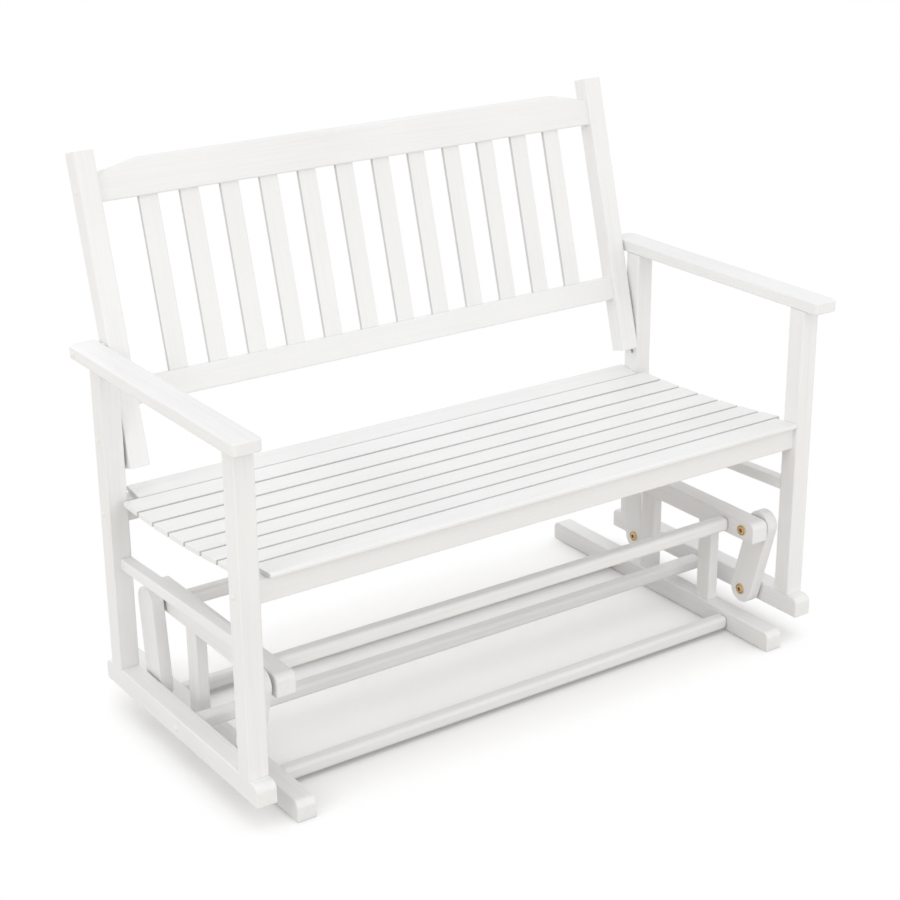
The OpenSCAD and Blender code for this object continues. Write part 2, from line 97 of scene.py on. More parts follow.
def linear(hex_colour: str) -> tuple[float, float, float, float]:
    """Turns an sRGB hex colour into linear values for a shader socket.

    Args:
        hex_colour: Six hex digits after a hash sign.

    Returns:
        Red, green, blue and alpha.
    """
    parts = [int(hex_colour[i : i + 2], 16) / 255 for i in (1, 3, 5)]
    red, green, blue = [p / 12.92 if p <= 0.04045 else ((p + 0.055) / 1.055) ** 2.4 for p in parts]
    return red, green, blue, 1.0


def add_node(
    tree: bpy.types.NodeTree, kind: str, sockets: dict[str | int, object], **settings: object
) -> bpy.types.Node:
    """Adds a shader node with its settings, values and links.

    Args:
        tree: The node tree that gets the node.
        kind: The node's type name.
        sockets: A value or an output socket for each named or numbered input.
        **settings: The node's own properties.

    Returns:
        The new node.
    """
    node = tree.nodes.new(kind)
    for name, value in settings.items():
        setattr(node, name, value)
    for name, value in sockets.items():
        if isinstance(value, bpy.types.NodeSocket):
            tree.links.new(value, node.inputs[name])
        else:
            node.inputs[name].default_value = value
    return node


def new_material(name: str) -> tuple[bpy.types.Material, bpy.types.NodeTree]:
    """Makes an empty node material.

    Args:
        name: The material's name.

    Returns:
        The material and its node tree.
    """
    material = bpy.data.materials.new(name)
    material.use_nodes = True
    material.node_tree.nodes.clear()
    return material, material.node_tree


@dataclass(frozen=True)
class PaintedHardwood:
    """Planed hardwood under sprayed satin paint.

    The eye gets an even soft white. Close up there are faint raised streaks along the grain, a
    fine spray texture, and slightly thinner paint on the eased edges.
    """

    name: str
    run: Axis
    lean: float = 0.0
    paint: str = "#F1F1F1"
    low_paint: str = "#E8E8E8"
    rubbed_paint: str = "#ECECEB"
    streak_width: float = 4.5
    streak_length: float = 220.0
    cloud_size: float = 260.0
    spray_size: float = 2.2
    relief: float = 0.13
    spray_relief: float = 0.35
    streak_share: float = 0.55
    cloud_share: float = 0.45
    edge_share: float = 0.6
    roughness: tuple[float, float] = (0.40, 0.52)

    def build(self) -> bpy.types.Material:
        """Builds the paint, with its grain along the piece.

        Returns:
            The material.
        """
        material, tree = new_material(self.name)
        place = add_node(tree, "ShaderNodeTexCoord", {})
        turned = add_node(
            tree,
            "ShaderNodeMapping",
            {"Vector": place.outputs["Object"], "Rotation": (math.radians(self.lean), 0.0, 0.0)},
        )
        # The streaks are drawn about three times as coarse as real grain, so that they show.
        scale = [1 / (self.streak_width * MM)] * 3
        scale[self.run.value] = 1 / (self.streak_length * MM)
        stretched = add_node(
            tree, "ShaderNodeMapping", {"Vector": turned.outputs["Vector"], "Scale": scale}
        )
        streaks = add_node(
            tree,
            "ShaderNodeTexNoise",
            {"Vector": stretched.outputs["Vector"], "Scale": 1.0, "Detail": 4.0, "Roughness": 0.6},
        )
        clouds, spray = (
            add_node(
                tree,
                "ShaderNodeTexNoise",
                {"Vector": turned.outputs["Vector"], "Scale": 1 / (size * MM), "Detail": 2.0},
            )
            for size in (self.cloud_size, self.spray_size)
        )
        streak_share = add_node(
            tree,
            "ShaderNodeMapRange",
            {
                "Value": streaks.outputs["Fac"],
                "From Min": 0.42,
                "From Max": 0.72,
                "To Max": self.streak_share,
            },
        )
        cloud_share = add_node(
            tree,
            "ShaderNodeMapRange",
            {
                "Value": clouds.outputs["Fac"],
                "From Min": 0.35,
                "From Max": 0.7,
                "To Max": self.cloud_share,
            },
        )
        share = add_node(
            tree,
            "ShaderNodeMath",
            {0: streak_share.outputs["Result"], 1: cloud_share.outputs["Result"]},
            operation="ADD",
            use_clamp=True,
        )
        field_colour = add_node(
            tree,
            "ShaderNodeMix",
            {"Factor": share.outputs["Value"], 6: linear(self.paint), 7: linear(self.low_paint)},
            data_type="RGBA",
        )
        # Pointiness is above a half on edges, where the paint is thin.
        shape = add_node(tree, "ShaderNodeNewGeometry", {})
        edge_share = add_node(
            tree,
            "ShaderNodeMapRange",
            {
                "Value": shape.outputs["Pointiness"],
                "From Min": 0.52,
                "From Max": 0.62,
                "To Max": self.edge_share,
            },
        )
        colour = add_node(
            tree,
            "ShaderNodeMix",
            {
                "Factor": edge_share.outputs["Result"],
                6: field_colour.outputs[2],
                7: linear(self.rubbed_paint),
            },
            data_type="RGBA",
        )
        gloss = add_node(
            tree,
            "ShaderNodeMapRange",
            {
                "Value": clouds.outputs["Fac"],
                "From Min": 0.3,
                "From Max": 0.7,
                "To Min": self.roughness[0],
                "To Max": self.roughness[1],
            },
        )
        height = add_node(
            tree,
            "ShaderNodeMath",
            {0: spray.outputs["Fac"], 1: self.spray_relief, 2: streaks.outputs["Fac"]},
            operation="MULTIPLY_ADD",
        )
        bump = add_node(
            tree,
            "ShaderNodeBump",
            {"Height": height.outputs["Value"], "Strength": 0.35, "Distance": self.relief * MM},
        )
        shader = add_node(
            tree,
            "ShaderNodeBsdfPrincipled",
            {
                "Base Color": colour.outputs[2],
                "Roughness": gloss.outputs["Result"],
                "Normal": bump.outputs["Normal"],
                "IOR": 1.5,
            },
        )
        add_node(tree, "ShaderNodeOutputMaterial", {"Surface": shader.outputs["BSDF"]})
        return material


@dataclass(frozen=True)
class BrassPlate:
    """Brass-plated steel, turned and tumbled.

    The eye gets a warm gold with soft reflections, brighter rubbed edges and browner tarnish in
    patches.
    """

    name: str = "brass_plated_steel"
    brass: str = "#E4C698"
    tarnish: str = "#A88C68"
    bright: str = "#F6E6C8"
    patch_size: float = 5.0
    scratch_size: float = 0.8
    relief: float = 0.05
    edge_share: float = 0.8
    roughness: tuple[float, float] = (0.22, 0.42)

    def build(self) -> bpy.types.Material:
        """Builds the plated metal.

        Returns:
            The material.
        """
        material, tree = new_material(self.name)
        place = add_node(tree, "ShaderNodeTexCoord", {})
        patches, scratches = (
            add_node(
                tree,
                "ShaderNodeTexNoise",
                {"Vector": place.outputs["Object"], "Scale": 1 / (size * MM), "Detail": detail},
            )
            for size, detail in ((self.patch_size, 3.0), (self.scratch_size, 2.0))
        )
        share = add_node(
            tree,
            "ShaderNodeMapRange",
            {"Value": patches.outputs["Fac"], "From Min": 0.45, "From Max": 0.75},
        )
        # The groove and the socket, where the surface curves inwards, are brown.
        shape = add_node(tree, "ShaderNodeNewGeometry", {})
        hollow = add_node(
            tree,
            "ShaderNodeMapRange",
            {"Value": shape.outputs["Pointiness"], "From Min": 0.5, "From Max": 0.44},
        )
        brown = add_node(
            tree,
            "ShaderNodeMath",
            {0: share.outputs["Result"], 1: hollow.outputs["Result"]},
            operation="MAXIMUM",
        )
        field_colour = add_node(
            tree,
            "ShaderNodeMix",
            {"Factor": brown.outputs["Value"], 6: linear(self.brass), 7: linear(self.tarnish)},
            data_type="RGBA",
        )
        edge_share = add_node(
            tree,
            "ShaderNodeMapRange",
            {
                "Value": shape.outputs["Pointiness"],
                "From Min": 0.53,
                "From Max": 0.6,
                "To Max": self.edge_share,
            },
        )
        colour = add_node(
            tree,
            "ShaderNodeMix",
            {
                "Factor": edge_share.outputs["Result"],
                6: field_colour.outputs[2],
                7: linear(self.bright),
            },
            data_type="RGBA",
        )
        gloss = add_node(
            tree,
            "ShaderNodeMapRange",
            {
                "Value": scratches.outputs["Fac"],
                "From Min": 0.3,
                "From Max": 0.7,
                "To Min": self.roughness[0],
                "To Max": self.roughness[1],
            },
        )
        bump = add_node(
            tree,
            "ShaderNodeBump",
            {"Height": scratches.outputs["Fac"], "Strength": 0.2, "Distance": self.relief * MM},
        )
        shader = add_node(
            tree,
            "ShaderNodeBsdfPrincipled",
            {
                "Base Color": colour.outputs[2],
                "Metallic": 1.0,
                "Roughness": gloss.outputs["Result"],
                "Normal": bump.outputs["Normal"],
            },
        )
        add_node(tree, "ShaderNodeOutputMaterial", {"Surface": shader.outputs["BSDF"]})
        return material


@dataclass(frozen=True)
class MouldedCap:
    """White moulded nylon, as on a push-on bolt cap.

    The eye gets a slightly warmer and shinier white than the paint, with a fine moulded grain.
    """

    name: str = "white_nylon_cap"
    nylon: str = "#F6F4F1"
    shade: str = "#EDEAE5"
    grain_size: float = 1.2
    relief: float = 0.05
    roughness: tuple[float, float] = (0.25, 0.36)

    def build(self) -> bpy.types.Material:
        """Builds the moulded plastic.

        Returns:
            The material.
        """
        material, tree = new_material(self.name)
        place = add_node(tree, "ShaderNodeTexCoord", {})
        grain = add_node(
            tree,
            "ShaderNodeTexNoise",
            {
                "Vector": place.outputs["Object"],
                "Scale": 1 / (self.grain_size * MM),
                "Detail": 3.0,
            },
        )
        colour = add_node(
            tree,
            "ShaderNodeMix",
            {"Factor": grain.outputs["Fac"], 6: linear(self.nylon), 7: linear(self.shade)},
            data_type="RGBA",
        )
        gloss = add_node(
            tree,
            "ShaderNodeMapRange",
            {
                "Value": grain.outputs["Fac"],
                "To Min": self.roughness[0],
                "To Max": self.roughness[1],
            },
        )
        bump = add_node(
            tree,
            "ShaderNodeBump",
            {"Height": grain.outputs["Fac"], "Strength": 0.2, "Distance": self.relief * MM},
        )
        shader = add_node(
            tree,
            "ShaderNodeBsdfPrincipled",
            {
                "Base Color": colour.outputs[2],
                "Roughness": gloss.outputs["Result"],
                "Normal": bump.outputs["Normal"],
                "IOR": 1.53,
            },
        )
        add_node(tree, "ShaderNodeOutputMaterial", {"Surface": shader.outputs["BSDF"]})
        return material


def edges_along(bm: bmesh.types.BMesh, axis: Axis) -> Edges:
    """Lists the edges that run in one direction.

    Args:
        bm: The mesh.
        axis: The direction.

    Returns:
        Every edge that is parallel to the axis.
    """
    return [
        e
        for e in bm.edges
        if abs((e.verts[1].co - e.verts[0].co).normalized()[axis.value]) > ALONG
    ]


def edges_at(bm: bmesh.types.BMesh, axis: Axis, places: tuple[float, ...]) -> Edges:
    """Lists the edges that lie in planes square to an axis.

    Args:
        bm: The mesh.
        axis: The direction that the planes are square to.
        places: Where the planes are along it, in metres.

    Returns:
        Every edge with both ends in the same plane.
    """
    return [
        e
        for e in bm.edges
        if any(all(abs(v.co[axis.value] - p) < NEAR for v in e.verts) for p in places)
    ]


def soften(bm: bmesh.types.BMesh, edges: Edges, radius: float, steps: int = 5) -> None:
    """Rounds edges over.

    Args:
        bm: The mesh.
        edges: The edges to round.
        radius: The rounding's radius in millimetres.
        steps: How many faces make the rounding.
    """
    bmesh.ops.bevel(
        bm,
        geom=edges,
        offset=radius * MM,
        offset_type="OFFSET",
        segments=steps,
        profile=0.5,
        affect="EDGES",
        material=-1,
    )


def mark_faces(bm: bmesh.types.BMesh, *looks: Axis) -> None:
    """Marks faces for the piece's second finish, a darker paint that stands in for shade.

    Args:
        bm: The mesh.
        *looks: The axes along any of which a marked face looks.
    """
    bm.normal_update()
    for face in bm.faces:
        if any(abs(face.normal[axis.value]) > MOSTLY for axis in looks):
            face.material_index = 1


def block(low: Vector, high: Vector) -> bmesh.types.BMesh:
    """Makes a plain block.

    Args:
        low: The lowest corner, in metres.
        high: The highest corner, in metres.

    Returns:
        The block's mesh.
    """
    bm = bmesh.new()
    place = Matrix.Translation((low + high) / 2) @ Matrix.Diagonal((*(high - low), 1.0))
    bmesh.ops.create_cube(bm, size=1.0, matrix=place)
    return bm


def board(
    low: Vector, high: Vector, run: Axis, radius: float, end_radius: float, steps: int = 5
) -> bmesh.types.BMesh:
    """Makes a planed board with its long edges and its ends eased.

    Args:
        low: The lowest corner, in metres.
        high: The highest corner, in metres.
        run: The direction of its length.
        radius: The long edges' radius, in millimetres.
        end_radius: The ends' radius, in millimetres.
        steps: How many faces make a long edge's rounding.

    Returns:
        The board's mesh.
    """
    bm = block(low, high)
    soften(bm, edges_along(bm, run), radius, steps)
    ends = (low[run.value], high[run.value])
    soften(bm, edges_at(bm, run, ends), end_radius, steps=3)
    return bm


def cut_off(bm: bmesh.types.BMesh, point: Vector, normal: Vector) -> None:
    """Saws off what lies beyond a plane and closes the cut.

    Args:
        bm: The mesh.
        point: A point of the plane.
        normal: The side that goes.
    """
    cut = bmesh.ops.bisect_plane(
        bm,
        geom=[*bm.verts, *bm.edges, *bm.faces],
        dist=1e-7,
        plane_co=point,
        plane_no=normal,
        clear_outer=True,
    )
    rim = [e for e in cut["geom_cut"] if isinstance(e, bmesh.types.BMEdge)]
    bmesh.ops.contextual_create(bm, geom=rim)


def flat_face(bm: bmesh.types.BMesh, normal: Vector) -> bmesh.types.BMFace:
    """Finds the largest face that looks one way.

    Args:
        bm: The mesh.
        normal: The way, as a unit vector.

    Returns:
        The face.
    """
    bm.normal_update()
    looking = [f for f in bm.faces if f.normal.dot(normal) > ALONG]
    return max(looking, key=lambda f: f.calc_area())


def ring(bm: bmesh.types.BMesh, place: Matrix, radius: float, steps: int = ROUND_STEPS) -> Edges:
    """Adds a loop of edges.

    Args:
        bm: The mesh.
        place: Where the loop's middle is and how it is turned.
        radius: The loop's radius, in metres.
        steps: How many edges it has.

    Returns:
        The loop's edges.
    """
    made = bmesh.ops.create_circle(bm, cap_ends=False, segments=steps, radius=radius, matrix=place)
    own = set(made["verts"])
    return [e for e in bm.edges if e.verts[0] in own and e.verts[1] in own]


def open_face(bm: bmesh.types.BMesh, face: bmesh.types.BMFace, loops: list[Edges]) -> None:
    """Cuts loops out of a flat face.

    Args:
        bm: The mesh.
        face: The face, which is made anew round the loops.
        loops: Loops of edges that lie in it.
    """
    normal = face.normal.copy()
    border = list(face.edges)
    bmesh.ops.delete(bm, geom=[face], context="FACES_ONLY")
    rims = [e for loop in loops for e in loop]
    bmesh.ops.triangle_fill(bm, edges=border + rims, use_beauty=True, normal=normal)


def sink(bm: bmesh.types.BMesh, rim: Edges, way: Vector) -> None:
    """Deepens an opening into a blind pocket.

    Args:
        bm: The mesh.
        rim: The opening's edges.
        way: The pocket's depth and direction, in metres.
    """
    walls = bmesh.ops.extrude_edge_only(bm, edges=rim)["geom"]
    moved = [v for v in walls if isinstance(v, bmesh.types.BMVert)]
    bmesh.ops.translate(bm, verts=moved, vec=way)
    bmesh.ops.contextual_create(bm, geom=[e for e in walls if isinstance(e, bmesh.types.BMEdge)])


def turned(profile: list[tuple[float, float]], closed: bool = False) -> bmesh.types.BMesh:
    """Turns a profile round the Z axis, as on a lathe.

    Args:
        profile: Radius and height of each corner, in millimetres.
        closed: Whether the profile is a closed ring, as for a washer.

    Returns:
        The turned mesh.
    """
    bm = bmesh.new()
    verts = [bm.verts.new((r * MM, 0.0, z * MM)) for r, z in profile]
    pairs = list(zip(verts, verts[1:])) + ([(verts[-1], verts[0])] if closed else [])
    edges = [bm.edges.new(pair) for pair in pairs]
    bmesh.ops.spin(
        bm,
        geom=[*verts, *edges],
        cent=(0.0, 0.0, 0.0),
        axis=(0.0, 0.0, 1.0),
        angle=math.tau,
        steps=ROUND_STEPS,
        use_merge=True,
    )
    bmesh.ops.remove_doubles(bm, verts=bm.verts, dist=NEAR)
    return bm


def join(parts: list[tuple[bmesh.types.BMesh, Matrix]]) -> bmesh.types.BMesh:
    """Puts copies of meshes into one.

    Args:
        parts: Each mesh with the place that it goes to.

    Returns:
        One mesh that holds them all.
    """
    whole = bmesh.new()
    for part, place in parts:
        copy = part.copy()
        bmesh.ops.transform(copy, matrix=place, verts=copy.verts)
        mesh = bpy.data.meshes.new("part")
        copy.to_mesh(mesh)
        whole.from_mesh(mesh)
        copy.free()
        bpy.data.meshes.remove(mesh)
    return whole


@dataclass
class Workshop:
    """Finishes pieces and fits them to the frame."""

    nodes: dict[str, bpy.types.Object]
    materials: dict[str, bpy.types.Material] = field(default_factory=dict)

    def stock(self, finishes: list[PaintedHardwood | BrassPlate | MouldedCap]) -> None:
        """Builds each finish once, under its name."""
        for finish in finishes:
            self.materials[finish.name] = finish.build()

    def fit(
        self,
        bm: bmesh.types.BMesh,
        node: str,
        body: str,
        finish: str,
        second_finish: str | None = None,
    ) -> bpy.types.Object:
        """Makes a piece of a mesh, in the place of a node.

        Args:
            bm: The piece's mesh, which is used up.
            node: The node that it stands for.
            body: The body that it rides on.
            finish: The name of its finish.
            second_finish: The finish of the faces whose material index is 1, a darker paint that
                stands in for shade on them.

        Returns:
            The piece.
        """
        bmesh.ops.recalc_face_normals(bm, faces=bm.faces)
        # That can turn a closed mesh inside out, which its volume tells.
        if bm.calc_volume(signed=True) < 0:
            bmesh.ops.reverse_faces(bm, faces=bm.faces)
        for face in bm.faces:
            face.smooth = True
        for edge in bm.edges:
            edge.smooth = len(edge.link_faces) == 2 and edge.calc_face_angle(0.0) < SHARP_ANGLE
        name = f"{node}_piece"
        mesh = bpy.data.meshes.new(name)
        bm.to_mesh(mesh)
        bm.free()
        mesh.materials.append(self.materials[finish])
        if second_finish:
            mesh.materials.append(self.materials[second_finish])
        piece = bpy.data.objects.new(name, mesh)
        bpy.context.scene.collection.objects.link(piece)
        shading = piece.modifiers.new("weighted_normals", "WEIGHTED_NORMAL")
        shading.keep_sharp = True
        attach(piece, body)
        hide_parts(node)
        LOG.info("%s rides on %s, %d faces", name, body, len(mesh.polygons))
        return piece

    def dress_node(self, node: str, finish: str) -> None:
        """Gives a node that keeps its own shape a finish.

        Args:
            node: The node.
            finish: The name of its finish.
        """
        piece = self.nodes[node]
        piece.data.materials.clear()
        piece.data.materials.append(self.materials[finish])
        LOG.info("%s keeps its own shape", node)


@dataclass
class Rail:
    """A rail on edge along Y, with its ends rounded off above."""

    end_radius: float = 13.0
    foot_radius: float = 3.6
    edge_radius: float = 3.0

    def build(self, node: str) -> bmesh.types.BMesh:
        """Builds a rail in a node's box.

        Args:
            node: The node that gives the box.

        Returns:
            The rail's mesh.
        """
        low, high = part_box(node)
        bm = block(low, high)
        middle = (low.z + high.z) / 2
        upper = [e for e in edges_along(bm, Axis.LENGTH) if e.verts[0].co.z > middle]
        soften(bm, upper, self.end_radius, steps=10)
        lower = [e for e in edges_along(bm, Axis.LENGTH) if e.verts[0].co.z < low.z + NEAR]
        soften(bm, lower, self.foot_radius, steps=4)
        soften(bm, edges_at(bm, Axis.LENGTH, (low.x, high.x)), self.edge_radius)
        return bm


@dataclass
class SideFrames:
    """The glider's two side frames: legs, armrests, side rails and foot rails."""

    edge: float = 3.0
    end_edge: float = 0.8
    front_corner: float = 8.0
    arm_corner: float = 15.0
    arm_edge: float = 3.0
    side_rail_rise: float = 15.5
    spare_hole: tuple[float, float] = (171.5, 445.7)
    spare_hole_radius: float = 4.5
    spare_hole_depth: float = 12.0

    def leg(self, node: str, side: Side) -> bmesh.types.BMesh:
        """Builds a leg, and bores the spare hole into a rear one.

        Args:
            node: The node that gives the box.
            side: The end of the bench.

        Returns:
            The leg's mesh.
        """
        low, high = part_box(node)
        bm = board(low, high, Axis.HEIGHT, self.edge, self.end_edge)
        if "rear" in node:
            inward = Vector((-side.value, 0.0, 0.0))
            face = flat_face(bm, inward)
            y, z = self.spare_hole
            place = Matrix.Translation((face.verts[0].co.x, y * MM, z * MM))
            turn = Matrix.Rotation(math.pi / 2, 4, "Y")
            rim = ring(bm, place @ turn, self.spare_hole_radius * MM, steps=24)
            open_face(bm, face, [rim])
            sink(bm, rim, -inward * self.spare_hole_depth * MM)
        return bm

    def armrest(self, node: str, side: Side) -> bmesh.types.BMesh:
        """Builds an armrest, with its rear outer corner rounded most.

        Args:
            node: The node that gives the box.
            side: The end of the bench.

        Returns:
            The armrest's mesh.
        """
        low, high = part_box(node)
        bm = block(low, high)
        outer = high.x if side is Side.RIGHT else low.x

        def is_big(corner: bmesh.types.BMEdge) -> bool:
            """Whether an upright edge is the rear outer one."""
            place = corner.verts[0].co
            return abs(place.x - outer) < NEAR and abs(place.y - high.y) < NEAR

        small = [e for e in edges_along(bm, Axis.HEIGHT) if not is_big(e)]
        soften(bm, small, self.front_corner, steps=8)
        big = [e for e in edges_along(bm, Axis.HEIGHT) if is_big(e)]
        soften(bm, big, self.arm_corner, steps=12)
        soften(bm, edges_at(bm, Axis.HEIGHT, (low.z, high.z)), self.arm_edge)
        return bm

    def side_rail(self, node: str) -> bmesh.types.BMesh:
        """Builds a side rail, which falls from the front leg to the rear leg.

        Args:
            node: The node that gives the box.

        Returns:
            The rail's mesh.
        """
        low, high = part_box(node)
        level = high.copy()
        level.z = high.z - self.side_rail_rise * MM
        bm = board(low, level, Axis.DEPTH, self.edge, self.end_edge)
        fall = -self.side_rail_rise * MM / (high.y - low.y)
        slant = Matrix.Identity(4)
        slant[2][1] = fall
        slant[2][3] = -fall * high.y
        bmesh.ops.transform(bm, matrix=slant, verts=bm.verts)
        return bm

    def build(self, shop: Workshop) -> None:
        """Builds both side frames.

        Args:
            shop: Where the pieces are finished and fitted.
        """
        for side in Side:
            for end in ("front", "rear"):
                node = f"{side.word}_{end}_leg"
                shop.fit(self.leg(node, side), node, "glider", "paint_upright")
            node = f"{side.word}_armrest"
            shop.fit(self.armrest(node, side), node, "glider", "paint_fore_and_aft")
            node = f"{side.word}_side_rail"
            shop.fit(self.side_rail(node), node, "glider", "paint_fore_and_aft")
            node = f"{side.word}_foot_rail"
            shop.fit(Rail().build(node), node, "glider", "paint_fore_and_aft")


@dataclass
class Seat:
    """The seat: nine slats on a dipped line, and the frame under them."""

    lowest: tuple[float, float] = (101.5, 405.5)
    dip_radius: float = 2610.0
    slat_width: float = 50.0
    slat_thickness: float = 9.5
    pitch: float = 55.75
    first: float = -212.5
    middle_count: int = 7
    front_width: float = 55.0
    front_slope: float = 4.2
    rear_slope: float = -8.0
    rear_drop: float = 2.0
    edge: float = 2.0
    nose: float = 4.0
    end_edge: float = 1.5
    frame_edge: float = 3.0

    def dip_slope(self, y: float) -> float:
        """The seat's slope at a depth, in degrees, positive where it falls rearwards."""
        return math.degrees(math.asin((self.lowest[0] - y) / self.dip_radius))

    @staticmethod
    def along(slope: float, length: float) -> Vector:
        """A way in Y and Z down a slope."""
        a = math.radians(slope)
        return Vector((length * math.cos(a), -length * math.sin(a)))

    def on_dip(self, y: float) -> Vector:
        """A point of the seat's line, in Y and Z."""
        rise = self.dip_radius * (1 - math.cos(math.radians(self.dip_slope(y))))
        return Vector((y, self.lowest[1] + rise))

    def slat_lines(self) -> list[tuple[Vector, float, float]]:
        """Works out where the slats lie.

        Returns:
            Front top corner, slope and width of each slat, from the rear slat to the front one.
        """
        half = self.slat_width / 2
        lines = []
        for i in range(self.middle_count):
            y = self.first + i * self.pitch
            slope = self.dip_slope(y)
            lines.append((self.on_dip(y) - self.along(slope, half), slope, self.slat_width))
        gap = self.pitch - self.slat_width
        front_edge = lines[0][0] - self.along(lines[0][1], gap)
        front = front_edge - self.along(self.front_slope, self.front_width)
        last, slope, width = lines[-1]
        rear = last + self.along(slope, width) + Vector((gap, -self.rear_drop))
        return [
            (rear, self.rear_slope, self.slat_width),
            *reversed(lines),
            (front, self.front_slope, self.front_width),
        ]

    @staticmethod
    def is_nose(number: int, way: Vector) -> bool:
        """Whether a way from the middle of the first or last slat goes to its outer side."""
        return way.y > 0 if number == 1 else way.y < 0

    def slat(self, number: int, line: tuple[Vector, float, float]) -> bmesh.types.BMesh:
        """Builds a slat, with the sides in the gaps, and the first and last slats' cut ends,
        marked for painted shade.

        Args:
            number: The slat's number, from 1 at the rear.
            line: Its front top corner, slope and width.

        Returns:
            The slat's mesh.
        """
        corner, slope, width = line
        low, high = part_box(f"seat_slat_{number}")
        start = Vector((low.x, 0.0, -self.slat_thickness * MM))
        end = Vector((high.x, width * MM, 0.0))
        bm = block(start, end)
        nosed = number in (1, self.middle_count + 2)
        long_edges = edges_along(bm, Axis.LENGTH)
        # The front slat's nose is rounded above and below, and the rear slat's only above.
        nose = []
        if nosed:
            middle = (start + end) / 2
            nose = [e for e in long_edges if self.is_nose(number, e.verts[0].co - middle)]
        if number == 1:
            nose = [e for e in nose if e.verts[0].co.z > start.z + NEAR]
        if nose:
            soften(bm, nose, self.nose, steps=6)
        soften(bm, [e for e in long_edges if e.is_valid and e not in nose], self.edge, steps=4)
        soften(bm, edges_at(bm, Axis.LENGTH, (low.x, high.x)), self.end_edge, steps=3)
        # Painted shade: the marked faces get a darker paint for the shade in the gaps, and on the
        # outer slats also at the ends beside the legs; their outer sides stay white.
        if nosed:
            mark_faces(bm, Axis.LENGTH, Axis.DEPTH)
            for face in bm.faces:
                if abs(face.normal.y) > MOSTLY and self.is_nose(number, face.normal):
                    face.material_index = 0
        else:
            mark_faces(bm, Axis.DEPTH)
        place = Matrix.Translation((0.0, corner.x * MM, corner.y * MM))
        lean = Matrix.Rotation(-math.radians(slope), 4, "X")
        bmesh.ops.transform(bm, matrix=place @ lean, verts=bm.verts)
        return bm

    def cross_rail(self, node: str, line: tuple[Vector, float, float]) -> bmesh.types.BMesh:
        """Builds the apron or the rear seat rail, planed to the slat above it.

        Args:
            node: The node that gives the box.
            line: The slat's front top corner, slope and width.

        Returns:
            The rail's mesh.
        """
        low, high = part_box(node)
        bm = block(low, high)
        bottom = [e for e in edges_along(bm, Axis.LENGTH) if e.verts[0].co.z < high.z - NEAR]
        soften(bm, bottom, self.frame_edge)
        corner, slope, _ = line
        a = math.radians(slope)
        up = Vector((0.0, math.sin(a), math.cos(a)))
        top = Vector((0.0, corner.x * MM, corner.y * MM)) - up * self.slat_thickness * MM
        cut_off(bm, top, up)
        return bm

    def build(self, shop: Workshop) -> None:
        """Builds the slats and the frame under them.

        Args:
            shop: Where the pieces are finished and fitted.
        """
        lines = self.slat_lines()
        for number, line in enumerate(lines, start=1):
            node = f"seat_slat_{number}"
            # The marked faces of each slat get painted shade, a darker grey paint.
            shop.fit(
                self.slat(number, line),
                node,
                "glider",
                "paint_lengthwise",
                second_finish="painted_shade_on_slat_sides",
            )
        for node, line in (("front_apron", lines[-1]), ("rear_seat_rail", lines[0])):
            shop.fit(self.cross_rail(node, line), node, "glider", "paint_lengthwise")
        for word in ("left", "middle", "right"):
            shop.dress_node(f"{word}_seat_bearer", "paint_fore_and_aft")


